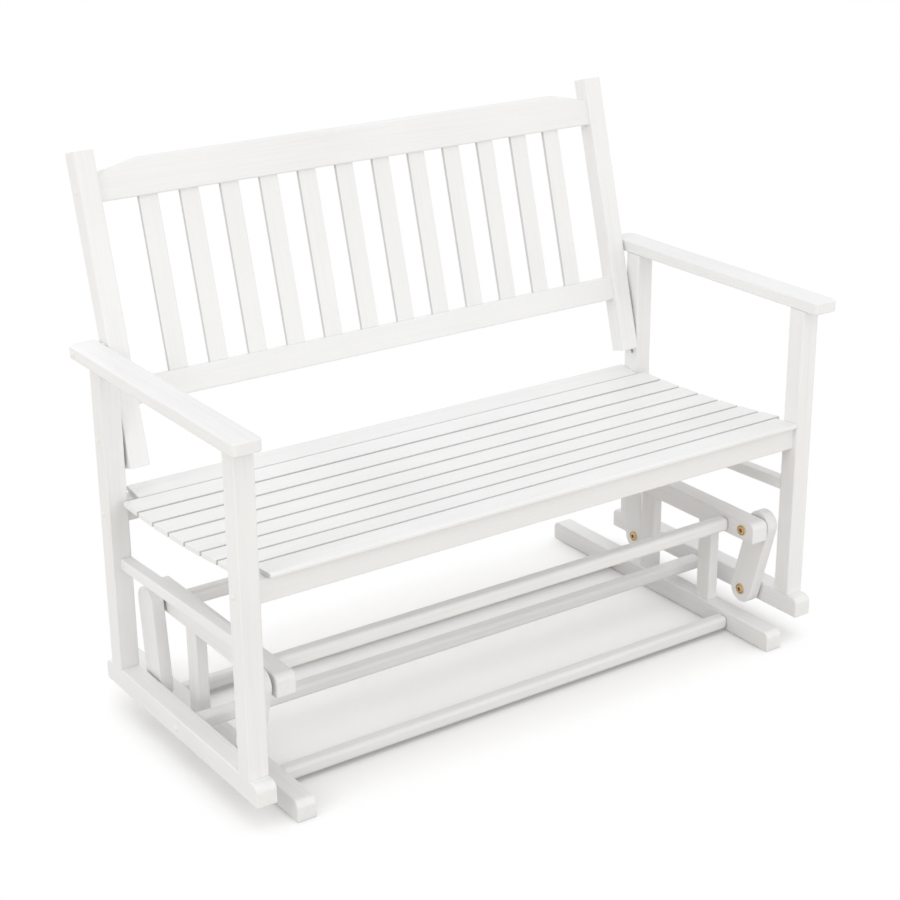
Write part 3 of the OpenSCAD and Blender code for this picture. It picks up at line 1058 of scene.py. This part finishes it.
@dataclass
class Back:
    """The leaning back: two posts, two rails and twelve slats between them."""

    lean: float = 14.9
    foot: tuple[float, float] = (147.7, 460.7)
    post_x: tuple[float, float] = (516.8, 553.8)
    post_depth: float = 36.0
    post_length: float = 535.0
    rail_set: float = 7.0
    rail_thickness: float = 22.0
    crest: tuple[float, float] = (447.0, 513.0)
    shoulder: tuple[float, float] = (80.0, 17.0)
    crest_round: float = 8.0
    low_rail: tuple[float, float] = (103.5, 148.0)
    slat_count: int = 12
    slat_pitch: float = 77.7
    slat_width: float = 36.0
    slat_thickness: float = 8.0
    slat_set: float = 14.0
    housing: float = 9.0
    edge: float = 3.0
    slat_edge: float = 2.0
    end_edge: float = 0.8
    glue_gap: float = 0.1

    def stand(self, bm: bmesh.types.BMesh) -> bmesh.types.BMesh:
        """Leans a mesh back onto the posts' feet.

        Args:
            bm: The mesh, upright.

        Returns:
            The same mesh, in its place.
        """
        place = Matrix.Translation((0.0, self.foot[0] * MM, self.foot[1] * MM))
        lean = Matrix.Rotation(-math.radians(self.lean), 4, "X")
        bmesh.ops.transform(bm, matrix=place @ lean, verts=bm.verts)
        return bm

    def post(self, side: Side) -> bmesh.types.BMesh:
        """Builds a post.

        Args:
            side: The end of the bench.

        Returns:
            The post's mesh.
        """
        x0, x1 = sorted(side.value * x * MM for x in self.post_x)
        low = Vector((x0, 0.0, 0.0))
        high = Vector((x1, self.post_depth * MM, self.post_length * MM))
        return self.stand(board(low, high, Axis.HEIGHT, self.edge, self.end_edge))

    def slat_middle(self, number: int) -> float:
        """A slat's middle along X, in metres."""
        return (number - (self.slat_count + 1) / 2) * self.slat_pitch * MM

    def housings(self, bm: bmesh.types.BMesh, height: float, up: float) -> None:
        """Cuts the housings for the slats' ends into a rail.

        Args:
            bm: The rail's mesh, upright.
            height: The height of its face, in metres.
            up: 1 if the housings go up from the face, or -1.
        """
        face = flat_face(bm, Vector((0.0, 0.0, -up)))
        half = (self.slat_width / 2 + self.glue_gap) * MM
        depth = (self.slat_thickness / 2 + self.glue_gap) * MM
        middle = (self.slat_set + self.slat_thickness / 2) * MM
        quarter = Matrix.Rotation(math.pi / 4, 4, "Z")
        stretch = Matrix.Diagonal((half, depth, 1.0, 1.0))
        rims = [
            ring(
                bm,
                Matrix.Translation((self.slat_middle(i), middle, height)) @ stretch @ quarter,
                math.sqrt(2),
                4,
            )
            for i in range(1, self.slat_count + 1)
        ]
        open_face(bm, face, rims)
        for rim in rims:
            sink(bm, rim, Vector((0.0, 0.0, up * self.housing * MM)))

    def rail(self, heights: tuple[float, float]) -> bmesh.types.BMesh:
        """Makes a back rail's block, upright.

        Args:
            heights: Its lower and upper face, from the posts' feet.

        Returns:
            The block's mesh.
        """
        reach = self.post_x[0] * MM
        low = Vector((-reach, self.rail_set * MM, heights[0] * MM))
        high = Vector((reach, (self.rail_set + self.rail_thickness) * MM, heights[1] * MM))
        return block(low, high)

    def crest_rail(self) -> bmesh.types.BMesh:
        """Builds the crest rail, whose ends fall away in sloped shoulders.

        Returns:
            The rail's mesh.
        """
        bm = self.rail(self.crest)
        run, fall = self.shoulder
        for side in Side:
            slope = Vector((side.value * fall, 0.0, run)).normalized()
            start = Vector((side.value * (self.post_x[0] - run), 0.0, self.crest[1])) * MM
            cut_off(bm, start, slope)
        faces = (self.rail_set * MM, (self.rail_set + self.rail_thickness) * MM)
        ends = edges_at(bm, Axis.LENGTH, (self.post_x[0] * MM, -self.post_x[0] * MM))
        under = edges_at(bm, Axis.HEIGHT, (self.crest[0] * MM,))
        rims = [e for e in edges_at(bm, Axis.DEPTH, faces) if e not in ends]
        low_rims = [e for e in rims if e in under]
        high_rims = [e for e in rims if e not in under]
        soften(bm, high_rims, self.crest_round, steps=8)
        soften(bm, low_rims, self.edge)
        self.housings(bm, self.crest[0] * MM, 1.0)
        return self.stand(bm)

    def lower_rail(self) -> bmesh.types.BMesh:
        """Builds the lower back rail.

        Returns:
            The rail's mesh.
        """
        bm = self.rail(self.low_rail)
        soften(bm, edges_along(bm, Axis.LENGTH), self.edge)
        self.housings(bm, self.low_rail[1] * MM, -1.0)
        return self.stand(bm)

    def slat(self, number: int) -> bmesh.types.BMesh:
        """Builds a back slat, with its ends in their housings.

        Args:
            number: The slat's number, from 1 at the left.

        Returns:
            The slat's mesh.
        """
        middle = self.slat_middle(number)
        half = self.slat_width / 2 * MM
        low = Vector((middle - half, self.slat_set * MM, (self.low_rail[1] - self.housing) * MM))
        high = Vector(
            (
                middle + half,
                (self.slat_set + self.slat_thickness) * MM,
                (self.crest[0] + self.housing) * MM,
            )
        )
        bm = block(low, high)
        soften(bm, edges_along(bm, Axis.HEIGHT), self.slat_edge, steps=4)
        # Painted shade: the slat's sides get a darker paint that stands in for the shade falling
        # on them.
        mark_faces(bm, Axis.LENGTH)
        return self.stand(bm)

    def build(self, shop: Workshop) -> None:
        """Builds the back.

        Args:
            shop: Where the pieces are finished and fitted.
        """
        for side in Side:
            shop.fit(self.post(side), f"{side.word}_back_post", "glider", "paint_reclined")
        shop.fit(self.crest_rail(), "crest_rail", "glider", "paint_lengthwise")
        shop.fit(self.lower_rail(), "lower_back_rail", "glider", "paint_lengthwise")
        for number in range(1, self.slat_count + 1):
            # The slats' sides get painted shade, a darker grey paint.
            shop.fit(
                self.slat(number),
                f"back_slat_{number}",
                "glider",
                "paint_reclined",
                second_finish="painted_shade_on_slat_sides",
            )


@dataclass
class Base:
    """The base: floor rails, top rails and uprights at each end, and the stretchers."""

    edge: float = 3.0
    end_edge: float = 0.8
    stretcher_edge: float = 8.0
    stretcher_end: float = 9.5

    def stretcher(self, node: str) -> bmesh.types.BMesh:
        """Builds a stretcher with rounded edges and ends.

        Args:
            node: The node that gives the box.

        Returns:
            The stretcher's mesh.
        """
        low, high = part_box(node)
        bm = block(low, high)
        soften(bm, edges_along(bm, Axis.LENGTH), self.stretcher_edge, steps=8)
        soften(bm, edges_at(bm, Axis.LENGTH, (low.x, high.x)), self.stretcher_end, steps=6)
        return bm

    def build(self, shop: Workshop) -> None:
        """Builds the base, and the glider's own stretcher.

        Args:
            shop: Where the pieces are finished and fitted.
        """
        for side in Side:
            for word in ("floor", "top"):
                node = f"{side.word}_{word}_rail"
                shop.fit(Rail().build(node), node, "base", "paint_fore_and_aft")
            for word in ("front", "rear"):
                node = f"{side.word}_{word}_upright"
                low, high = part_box(node)
                bm = board(low, high, Axis.HEIGHT, self.edge, self.end_edge)
                shop.fit(bm, node, "base", "paint_upright")
        for height in ("upper", "lower"):
            for word in ("front", "rear"):
                node = f"{height}_{word}_stretcher"
                shop.fit(self.stretcher(node), node, "base", "paint_lengthwise")
        node = "glider_stretcher"
        shop.fit(self.stretcher(node), node, "glider", "paint_lengthwise")


@dataclass
class SwingArms:
    """The four swing arms, with a blind bore in the round upper end and a through bore below."""

    length: float = 151.5
    width: float = 54.0
    x: tuple[float, float] = (529.0, 553.0)
    top_height: float = 220.0
    front_top: float = -241.0
    rear_top: float = 131.6
    front_lean: float = 15.0
    rear_lean: float = 6.3
    insert_depth: float = 19.5
    bore: float = 4.08
    free_bore: float = 8.0
    edge: float = 2.6

    def top(self, end: str) -> Vector:
        """The top pivot of an arm, in Y and Z."""
        return Vector((self.front_top if end == "front" else self.rear_top, self.top_height))

    def low(self, end: str) -> Vector:
        """The lower pivot of an arm, in Y and Z."""
        a = math.radians(self.front_lean if end == "front" else -self.rear_lean)
        return self.top(end) + self.length * Vector((math.sin(a), -math.cos(a)))

    def arm(self, end: str, side: Side) -> bmesh.types.BMesh:
        """Builds an arm.

        Args:
            end: front or rear.
            side: The end of the bench.

        Returns:
            The arm's mesh.
        """
        top, low = self.top(end), self.low(end)
        down = (low - top).normalized()
        bm = bmesh.new()
        x0, x1 = (side.value * x * MM for x in self.x)
        to_side = Matrix.Rotation(math.pi / 2, 4, "Y")
        place = Matrix.Translation((x0, top.x * MM, top.y * MM))
        # The blank is turned so that no corner lies on the line between its two halves.
        half_step = math.pi / ROUND_STEPS / 2
        square_on = Matrix.Rotation(math.atan2(down.y, down.x) + half_step, 4, "X")
        # A round blank is drawn out along the arm, half its corners going down to the lower pivot.
        bmesh.ops.create_circle(
            bm,
            cap_ends=True,
            segments=ROUND_STEPS * 2,
            radius=self.width / 2 * MM,
            matrix=place @ square_on @ to_side,
        )
        lower = [v for v in bm.verts if (v.co.yz / MM - top).dot(down) > 0]
        way = Vector((0.0, low.x - top.x, low.y - top.y)) * MM
        bmesh.ops.translate(bm, verts=lower, vec=way)
        raised = bmesh.ops.extrude_face_region(bm, geom=list(bm.faces), use_keep_orig=True)["geom"]
        moved = [v for v in raised if isinstance(v, bmesh.types.BMVert)]
        bmesh.ops.translate(bm, verts=moved, vec=(x1 - x0, 0.0, 0.0))
        bmesh.ops.recalc_face_normals(bm, faces=bm.faces)
        soften(bm, edges_at(bm, Axis.LENGTH, (x0, x1)), self.edge, steps=4)
        outward = Vector((side.value, 0.0, 0.0))
        inner, outer = flat_face(bm, -outward), flat_face(bm, outward)
        through = self.bore if end == "front" else self.free_bore

        def rim(x: float, point: Vector, radius: float) -> Edges:
            """Draws a bore's rim round a point of a face."""
            place = Matrix.Translation((x, point.x * MM, point.y * MM)) @ to_side
            return ring(bm, place, radius * MM)

        blind, near, far = rim(x0, top, self.bore), rim(x0, low, through), rim(x1, low, through)
        open_face(bm, inner, [blind, near])
        open_face(bm, outer, [far])
        bmesh.ops.bridge_loops(bm, edges=near + far)
        sink(bm, blind, outward * self.insert_depth * MM)
        return bm

    def build(self, shop: Workshop) -> None:
        """Builds the arms.

        Args:
            shop: Where the pieces are finished and fitted.
        """
        for end in ("front", "rear"):
            for side in Side:
                node = f"{end}_{side.word}_swing_arm"
                shop.fit(self.arm(end, side), node, node, f"paint_{end}_arm")


@dataclass(frozen=True)
class FrameBolt:
    """A capped bolt: what it joins, its cap's distance from the middle, its length and its place.

    The place is in Y and Z, and the other end of the bench has the same bolt.
    """

    joins: str
    x: float
    length: float
    point: tuple[float, float]


@dataclass
class Fasteners:
    """The brass pivot bolts with their washers, and the capped frame bolts."""

    arms: SwingArms
    head_radius: float = 10.5
    head_height: float = 3.5
    socket: float = 8.0
    socket_depth: float = 2.6
    shank: float = 4.0
    washer: float = 10.0
    running: float = 0.08
    wood_bore: float = 4.08
    base_x: tuple[float, float] = (488.0, 524.0)
    leg_x: float = 558.0
    screwed: float = 18.5
    cap: tuple[float, float] = (5.0, 2.4)
    frame_shank: float = 3.0
    frame_bore: float = 3.08
    spacer_x: tuple[float, float] = (553.8, 558.0)
    plain_bolts: tuple[FrameBolt, ...] = (
        FrameBolt("foot rail to glider stretcher", 594.5, 75.5, (-47.8, 68.5)),
        FrameBolt("front leg to apron", 594.5, 75.5, (-277.5, 400.86)),
        FrameBolt("rear leg to rear seat rail", 594.5, 75.5, (183.0, 376.89)),
        FrameBolt("back post to lower back rail", 553.8, 76.0, (197.43, 577.59)),
        FrameBolt("back post to crest rail", 553.8, 76.0, (285.56, 908.82)),
    )
    spaced_bolts: tuple[FrameBolt, ...] = (
        FrameBolt("rear leg to back post", 594.5, 68.7, (179.75, 511.16)),
        FrameBolt("armrest to back post", 610.0, 84.2, (218.29, 656.0)),
    )

    def pivot_bolt(self, grip: float) -> bmesh.types.BMesh:
        """Builds a low-headed bolt with a hexagon socket.

        Args:
            grip: The shank's length under the head, in millimetres.

        Returns:
            The bolt, with its head's underside at the origin and its shank along +Z.
        """
        r, h, s = self.head_radius, self.head_height, self.shank
        # From the socket's mouth over the turned groove and the rim, then down the shank.
        bm = turned(
            [
                (5.4, -h),
                (6.6, -h + 0.2),
                (7.3, -h + 0.9),
                (7.6, -h + 1.9),
                (8.6, -h + 1.9),
                (8.9, -h + 1.1),
                (r - 0.7, -h + 1.0),
                (r - 0.2, -h + 1.3),
                (r, -h + 1.9),
                (r, -0.4),
                (r - 0.4, 0.0),
                (s, 0.0),
                (s, grip - 0.8),
                (s - 0.8, grip),
                (0.0, grip),
            ]
        )
        rim = [e for e in bm.edges if e.is_boundary]
        mouth = Matrix.Translation((0.0, 0.0, (-h + 0.3) * MM))
        corner_radius = self.socket / 2 / math.cos(math.pi / 6)
        hexagon = ring(bm, mouth, corner_radius * MM, steps=6)
        bmesh.ops.bridge_loops(bm, edges=rim + hexagon)
        sink(bm, hexagon, Vector((0.0, 0.0, self.socket_depth * MM)))
        return bm

    def ring_piece(self, inner: float, outer: float, thick: float) -> bmesh.types.BMesh:
        """Builds a washer or spacer with eased rims, from the origin along +Z.

        Args:
            inner: The bore's radius, in millimetres.
            outer: The rim's radius, in millimetres.
            thick: The thickness, in millimetres.

        Returns:
            The ring's mesh.
        """
        e = min(0.4, thick / 4)
        return turned(
            [
                (inner, 0.0),
                (outer - e, 0.0),
                (outer, e),
                (outer, thick - e),
                (outer - e, thick),
                (inner, thick),
            ],
            closed=True,
        )

    def capped_bolt(self, length: float) -> bmesh.types.BMesh:
        """Builds a frame bolt under its domed cap, the cap on +Z and the shank below.

        Args:
            length: The shank's length under the cap, in millimetres.

        Returns:
            The bolt's mesh.
        """
        r, h = self.cap
        dome = [
            (r * math.cos(a), 0.5 + (h - 0.5) * math.sin(a))
            for a in [math.radians(15 * i) for i in range(6)]
        ]
        return turned(
            [
                (0.0, -length),
                (self.frame_shank - 0.6, -length),
                (self.frame_shank, -length + 0.6),
                (self.frame_shank, 0.0),
                (r, 0.0),
                *dome,
                (0.0, h),
            ]
        )

    def outward(self, side: Side, x: float, point: Vector) -> Matrix:
        """The place of a fastener whose +Z looks outwards along X.

        Args:
            side: The end of the bench.
            x: Its distance from the middle, in millimetres.
            point: Its place in Y and Z, in millimetres.

        Returns:
            The matrix that takes it there.
        """
        place = Matrix.Translation((side.value * x * MM, point.x * MM, point.y * MM))
        return place @ Matrix.Rotation(side.value * math.pi / 2, 4, "Y")

    def pivots(self, upper: bool) -> bmesh.types.BMesh:
        """Builds pivot bolts with their washers.

        Args:
            upper: Whether they are the upper ones, or the lower ones.

        Returns:
            One mesh that holds all four bolts and washers.
        """
        arm_in, arm_out = self.arms.x
        if upper:
            head, washer_in, washer_out = self.base_x[0], self.base_x[1], arm_in - self.running
            grip = arm_in + self.screwed - head
        else:
            head, washer_in, washer_out = arm_in - self.running, arm_out + self.running, self.leg_x
            grip = self.leg_x + self.screwed - head
        bolt = self.pivot_bolt(grip)
        washer = self.ring_piece(self.wood_bore, self.washer, washer_out - washer_in)
        parts = []
        for side in Side:
            for end in ("front", "rear"):
                point = self.arms.top(end) if upper else self.arms.low(end)
                parts.append((bolt, self.outward(side, head, point)))
                parts.append((washer, self.outward(side, washer_in, point)))
        return join(parts)

    def frame_bolts(self) -> bmesh.types.BMesh:
        """Builds the capped frame bolts and the spacers beside the back posts.

        Returns:
            One mesh that holds them all.
        """
        inner, outer = self.spacer_x
        spacer = self.ring_piece(self.frame_bore, self.washer, outer - inner)
        parts = []
        for side in Side:
            for bolt in (*self.plain_bolts, *self.spaced_bolts):
                place = self.outward(side, bolt.x, Vector(bolt.point))
                parts.append((self.capped_bolt(bolt.length), place))
            for bolt in self.spaced_bolts:
                parts.append((spacer, self.outward(side, inner, Vector(bolt.point))))
        return join(parts)

    def build(self, shop: Workshop) -> None:
        """Builds every fastener.

        Args:
            shop: Where the pieces are finished and fitted.
        """
        brass = "brass_plated_steel"
        shop.fit(self.pivots(True), "upper_pivot_bolts", "base", brass)
        shop.fit(self.pivots(False), "lower_pivot_bolts", "glider", brass)
        shop.fit(self.frame_bolts(), "frame_bolts", "glider", "white_nylon_cap")


@dataclass(frozen=True)
class Softbox:
    """A soft square lamp that looks at the bench, placed and sized in metres."""

    name: str
    place: tuple[float, float, float]
    size: float
    watts: float


@dataclass
class Studio:
    """A white floor and surroundings, soft light and the photograph's camera.

    Lengths are metres. The camera's angles are degrees, and its shift is in frame widths.
    """

    camera_place: tuple[float, float, float] = (-1.82873, -2.65635, 1.68055)
    azimuth: float = -34.712
    elevation: float = 21.0262
    roll: float = -0.3971
    lens: float = 77.648
    shift: tuple[float, float] = (-0.00735, -0.01483)
    floor_radius: float = 14.0
    floor_colour: str = "#F4F4F4"
    floor_bounce: str = "#D6D1CA"
    floor_lift: float = 0.17
    contact_open: tuple[float, float] = (0.4, 0.95)
    line_shade: tuple[float, float] = (0.010, 0.82)
    wide_shade: tuple[float, float] = (0.085, 0.82)
    shadow_reach: tuple[float, float] = (0.57, 0.28)
    shadow_fade: tuple[float, float] = (0.0, 0.075)
    sky: float = 0.97
    aim: tuple[float, float, float] = (0.0, 0.0, 0.35)
    softboxes: tuple[Softbox, ...] = (
        Softbox("low_front_softbox", (0.8, -6.0, 2.0), 3.0, 18.0),
        Softbox("floor_level_softbox", (0.6, -5.0, 0.9), 1.6, 15.0),
        Softbox("left_softbox", (-5.0, -1.4, 2.7), 1.6, 36.0),
        Softbox("right_softbox", (5.5, -1.5, 2.0), 3.0, 12.0),
        Softbox("rear_softbox", (0.0, 6.0, 2.0), 3.0, 46.0),
    )

    def camera(self) -> None:
        """Sets up the photograph's camera."""
        azimuth, elevation, roll = (
            math.radians(a) for a in (self.azimuth, self.elevation, self.roll)
        )
        level = math.cos(elevation)
        back = Vector(
            (math.sin(azimuth) * level, -math.cos(azimuth) * level, math.sin(elevation))
        )
        right = Vector((math.cos(azimuth), math.sin(azimuth), 0.0))
        up = back.cross(right)
        across = math.cos(roll) * right + math.sin(roll) * up
        above = math.cos(roll) * up - math.sin(roll) * right
        turn = Matrix((across, above, back)).transposed().to_4x4()
        data = bpy.data.cameras.new("photo_camera")
        data.sensor_width = 36.0
        data.lens = self.lens
        data.shift_x, data.shift_y = self.shift
        data.clip_end = 60.0
        camera = bpy.data.objects.new("photo_camera", data)
        camera.matrix_world = Matrix.Translation(self.camera_place) @ turn
        bpy.context.scene.collection.objects.link(camera)
        bpy.context.scene.camera = camera

    @staticmethod
    def seen_ray(tree: bpy.types.NodeTree) -> bpy.types.NodeSocket:
        """Tells what the eye sees, straight or by reflection or through glass, from light.

        Args:
            tree: The nodes that it is for.

        Returns:
            The socket, 1 for rays that the eye sees and 0 for light.
        """
        path = add_node(tree, "ShaderNodeLightPath", {})
        gloss = add_node(
            tree,
            "ShaderNodeMath",
            {0: path.outputs["Is Camera Ray"], 1: path.outputs["Is Glossy Ray"]},
            operation="MAXIMUM",
        )
        glass = add_node(
            tree,
            "ShaderNodeMath",
            {0: gloss.outputs["Value"], 1: path.outputs["Is Transmission Ray"]},
            operation="MAXIMUM",
        )
        return glass.outputs["Value"]

    def contact(
        self, tree: bpy.types.NodeTree, shade: tuple[float, float]
    ) -> bpy.types.NodeSocket:
        """How open the floor is to the light, given what stands close over it.

        Args:
            tree: The floor's nodes.
            shade: How far off a thing still shades the floor, in metres, and the darkest value.

        Returns:
            The socket, 1 where the floor lies open.
        """
        reach, darkest = shade
        near_things = add_node(
            tree, "ShaderNodeAmbientOcclusion", {"Distance": reach}, samples=12
        )
        openness = add_node(
            tree,
            "ShaderNodeMapRange",
            {
                "Value": near_things.outputs["AO"],
                "From Min": self.contact_open[0],
                "From Max": self.contact_open[1],
                "To Min": darkest,
            },
        )
        return openness.outputs["Result"]

    def shaded_paper(
        self, tree: bpy.types.NodeTree, seen: bpy.types.NodeSocket
    ) -> bpy.types.NodeSocket:
        """Makes the paper that takes the bench's shadow.

        Args:
            tree: The floor's nodes.
            seen: 1 for rays that show the floor to the eye, and 0 for light.

        Returns:
            The shader's socket.
        """
        # Painted shade: ambient occlusion darkens the paper's colour and glow, darkest right under
        # what stands on it, and dimmer under the low rails.
        openness = add_node(
            tree,
            "ShaderNodeMath",
            {0: self.contact(tree, self.line_shade), 1: self.contact(tree, self.wide_shade)},
            operation="MULTIPLY",
        )
        # The eye gets white paper. The light that the paper throws back comes from a greyer one.
        paper = add_node(
            tree,
            "ShaderNodeMix",
            {
                "Factor": seen,
                6: linear(self.floor_bounce),
                7: linear(self.floor_colour),
            },
            data_type="RGBA",
        )
        shaded = add_node(
            tree,
            "ShaderNodeVectorMath",
            {0: paper.outputs[2], "Scale": openness.outputs["Value"]},
            operation="SCALE",
        )
        matt = add_node(tree, "ShaderNodeBsdfDiffuse", {"Color": shaded.outputs["Vector"]})
        # A little light of its own, for the eye only, keeps the shadow as pale as on real paper.
        lift = add_node(
            tree,
            "ShaderNodeMath",
            {0: openness.outputs["Value"], 1: self.floor_lift},
            operation="MULTIPLY",
        )
        strength = add_node(
            tree,
            "ShaderNodeMath",
            {0: seen, 1: lift.outputs["Value"]},
            operation="MULTIPLY",
        )
        glow = add_node(tree, "ShaderNodeEmission", {"Strength": strength.outputs["Value"]})
        paper_and_glow = add_node(
            tree, "ShaderNodeAddShader", {0: matt.outputs["BSDF"], 1: glow.outputs["Emission"]}
        )
        return paper_and_glow.outputs["Shader"]

    def past_shadow(self, tree: bpy.types.NodeTree) -> bpy.types.NodeSocket:
        """Finds where the floor lies outside the bench's shadow.

        Args:
            tree: The floor's nodes.

        Returns:
            The socket, 0 under the bench and 1 where its shadow has faded out.
        """
        place = add_node(tree, "ShaderNodeTexCoord", {})
        one_quarter = add_node(
            tree, "ShaderNodeVectorMath", {0: place.outputs["Object"]}, operation="ABSOLUTE"
        )
        past_edge = add_node(
            tree,
            "ShaderNodeVectorMath",
            {0: one_quarter.outputs["Vector"], 1: (*self.shadow_reach, 0.0)},
            operation="SUBTRACT",
        )
        outside = add_node(
            tree,
            "ShaderNodeVectorMath",
            {0: past_edge.outputs["Vector"], 1: (0.0, 0.0, 0.0)},
            operation="MAXIMUM",
        )
        distance = add_node(
            tree, "ShaderNodeVectorMath", {0: outside.outputs["Vector"]}, operation="LENGTH"
        )
        clear = add_node(
            tree,
            "ShaderNodeMapRange",
            {
                "Value": distance.outputs["Value"],
                "From Min": self.shadow_fade[0],
                "From Max": self.shadow_fade[1],
            },
            interpolation_type="SMOOTHSTEP",
        )
        return clear.outputs["Result"]

    def floor(self) -> None:
        """Lays the white floor, which keeps the bench's shadow and is plain white further off."""
        bm = bmesh.new()
        bmesh.ops.create_circle(bm, cap_ends=True, segments=64, radius=self.floor_radius)
        mesh = bpy.data.meshes.new("studio_floor")
        bm.to_mesh(mesh)
        bm.free()
        material, tree = new_material("white_paper_floor")
        seen = self.seen_ray(tree)
        share = add_node(
            tree, "ShaderNodeMath", {0: self.past_shadow(tree), 1: seen}, operation="MULTIPLY"
        )
        white = add_node(tree, "ShaderNodeEmission", {"Strength": 1.0})
        both = add_node(
            tree,
            "ShaderNodeMixShader",
            {
                "Fac": share.outputs["Value"],
                1: self.shaded_paper(tree, seen),
                2: white.outputs["Emission"],
            },
        )
        add_node(tree, "ShaderNodeOutputMaterial", {"Surface": both.outputs["Shader"]})
        mesh.materials.append(material)
        floor = bpy.data.objects.new("studio_floor", mesh)
        bpy.context.scene.collection.objects.link(floor)

    def world(self) -> None:
        """Makes the even white surroundings."""
        world = bpy.data.worlds.new("white_studio")
        world.use_nodes = True
        tree = world.node_tree
        tree.nodes.clear()
        strength = add_node(
            tree,
            "ShaderNodeMapRange",
            {"Value": self.seen_ray(tree), "To Min": self.sky, "To Max": 1.0},
        )
        white = add_node(
            tree,
            "ShaderNodeBackground",
            {"Color": linear("#FFFFFF"), "Strength": strength.outputs["Result"]},
        )
        add_node(tree, "ShaderNodeOutputWorld", {"Surface": white.outputs["Background"]})
        bpy.context.scene.world = world

    def hang(self, box: Softbox) -> None:
        """Hangs a softbox and turns it to the bench.

        Args:
            box: The softbox.
        """
        data = bpy.data.lights.new(box.name, "AREA")
        data.shape = "SQUARE"
        data.size = box.size
        data.energy = box.watts
        lamp = bpy.data.objects.new(box.name, data)
        lamp.location = box.place
        aim = Vector(self.aim) - Vector(box.place)
        lamp.rotation_mode = "QUATERNION"
        lamp.rotation_quaternion = aim.to_track_quat("-Z", "Y")
        bpy.context.scene.collection.objects.link(lamp)

    def build(self) -> None:
        """Sets up the studio."""
        self.camera()
        self.floor()
        self.world()
        for box in self.softboxes:
            self.hang(box)
        bpy.context.scene.view_settings.view_transform = "Standard"


def main() -> None:
    """Loads the frame, and builds the studio and the bench."""
    logging.basicConfig(level=logging.INFO, format="%(name)s: %(message)s")
    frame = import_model()
    Studio().build()
    shop = Workshop(frame["nodes"])
    arms = SwingArms()
    back = Back()
    shop.stock(
        [
            PaintedHardwood("paint_lengthwise", Axis.LENGTH),
            PaintedHardwood("paint_fore_and_aft", Axis.DEPTH),
            PaintedHardwood("paint_upright", Axis.HEIGHT),
            # Painted shade: a darker grey paint on the slats' sides and on the outer seat slats'
            # cut ends stands in for the shade that falls in the gaps between slats and beside the
            # legs.
            PaintedHardwood(
                "painted_shade_on_slat_sides",
                Axis.LENGTH,
                paint="#D8D8D8",
                low_paint="#C9C9C9",
                rubbed_paint="#D0CFCE",
                relief=0.3,
            ),
            PaintedHardwood("paint_reclined", Axis.HEIGHT, lean=back.lean),
            PaintedHardwood("paint_front_arm", Axis.HEIGHT, lean=-arms.front_lean),
            PaintedHardwood("paint_rear_arm", Axis.HEIGHT, lean=arms.rear_lean),
            BrassPlate(),
            MouldedCap(),
        ]
    )
    for assembly in (SideFrames(), Seat(), back, Base(), arms, Fasteners(arms)):
        LOG.info("building %s", type(assembly).__name__)
        assembly.build(shop)


if __name__ == "__main__":
    main()
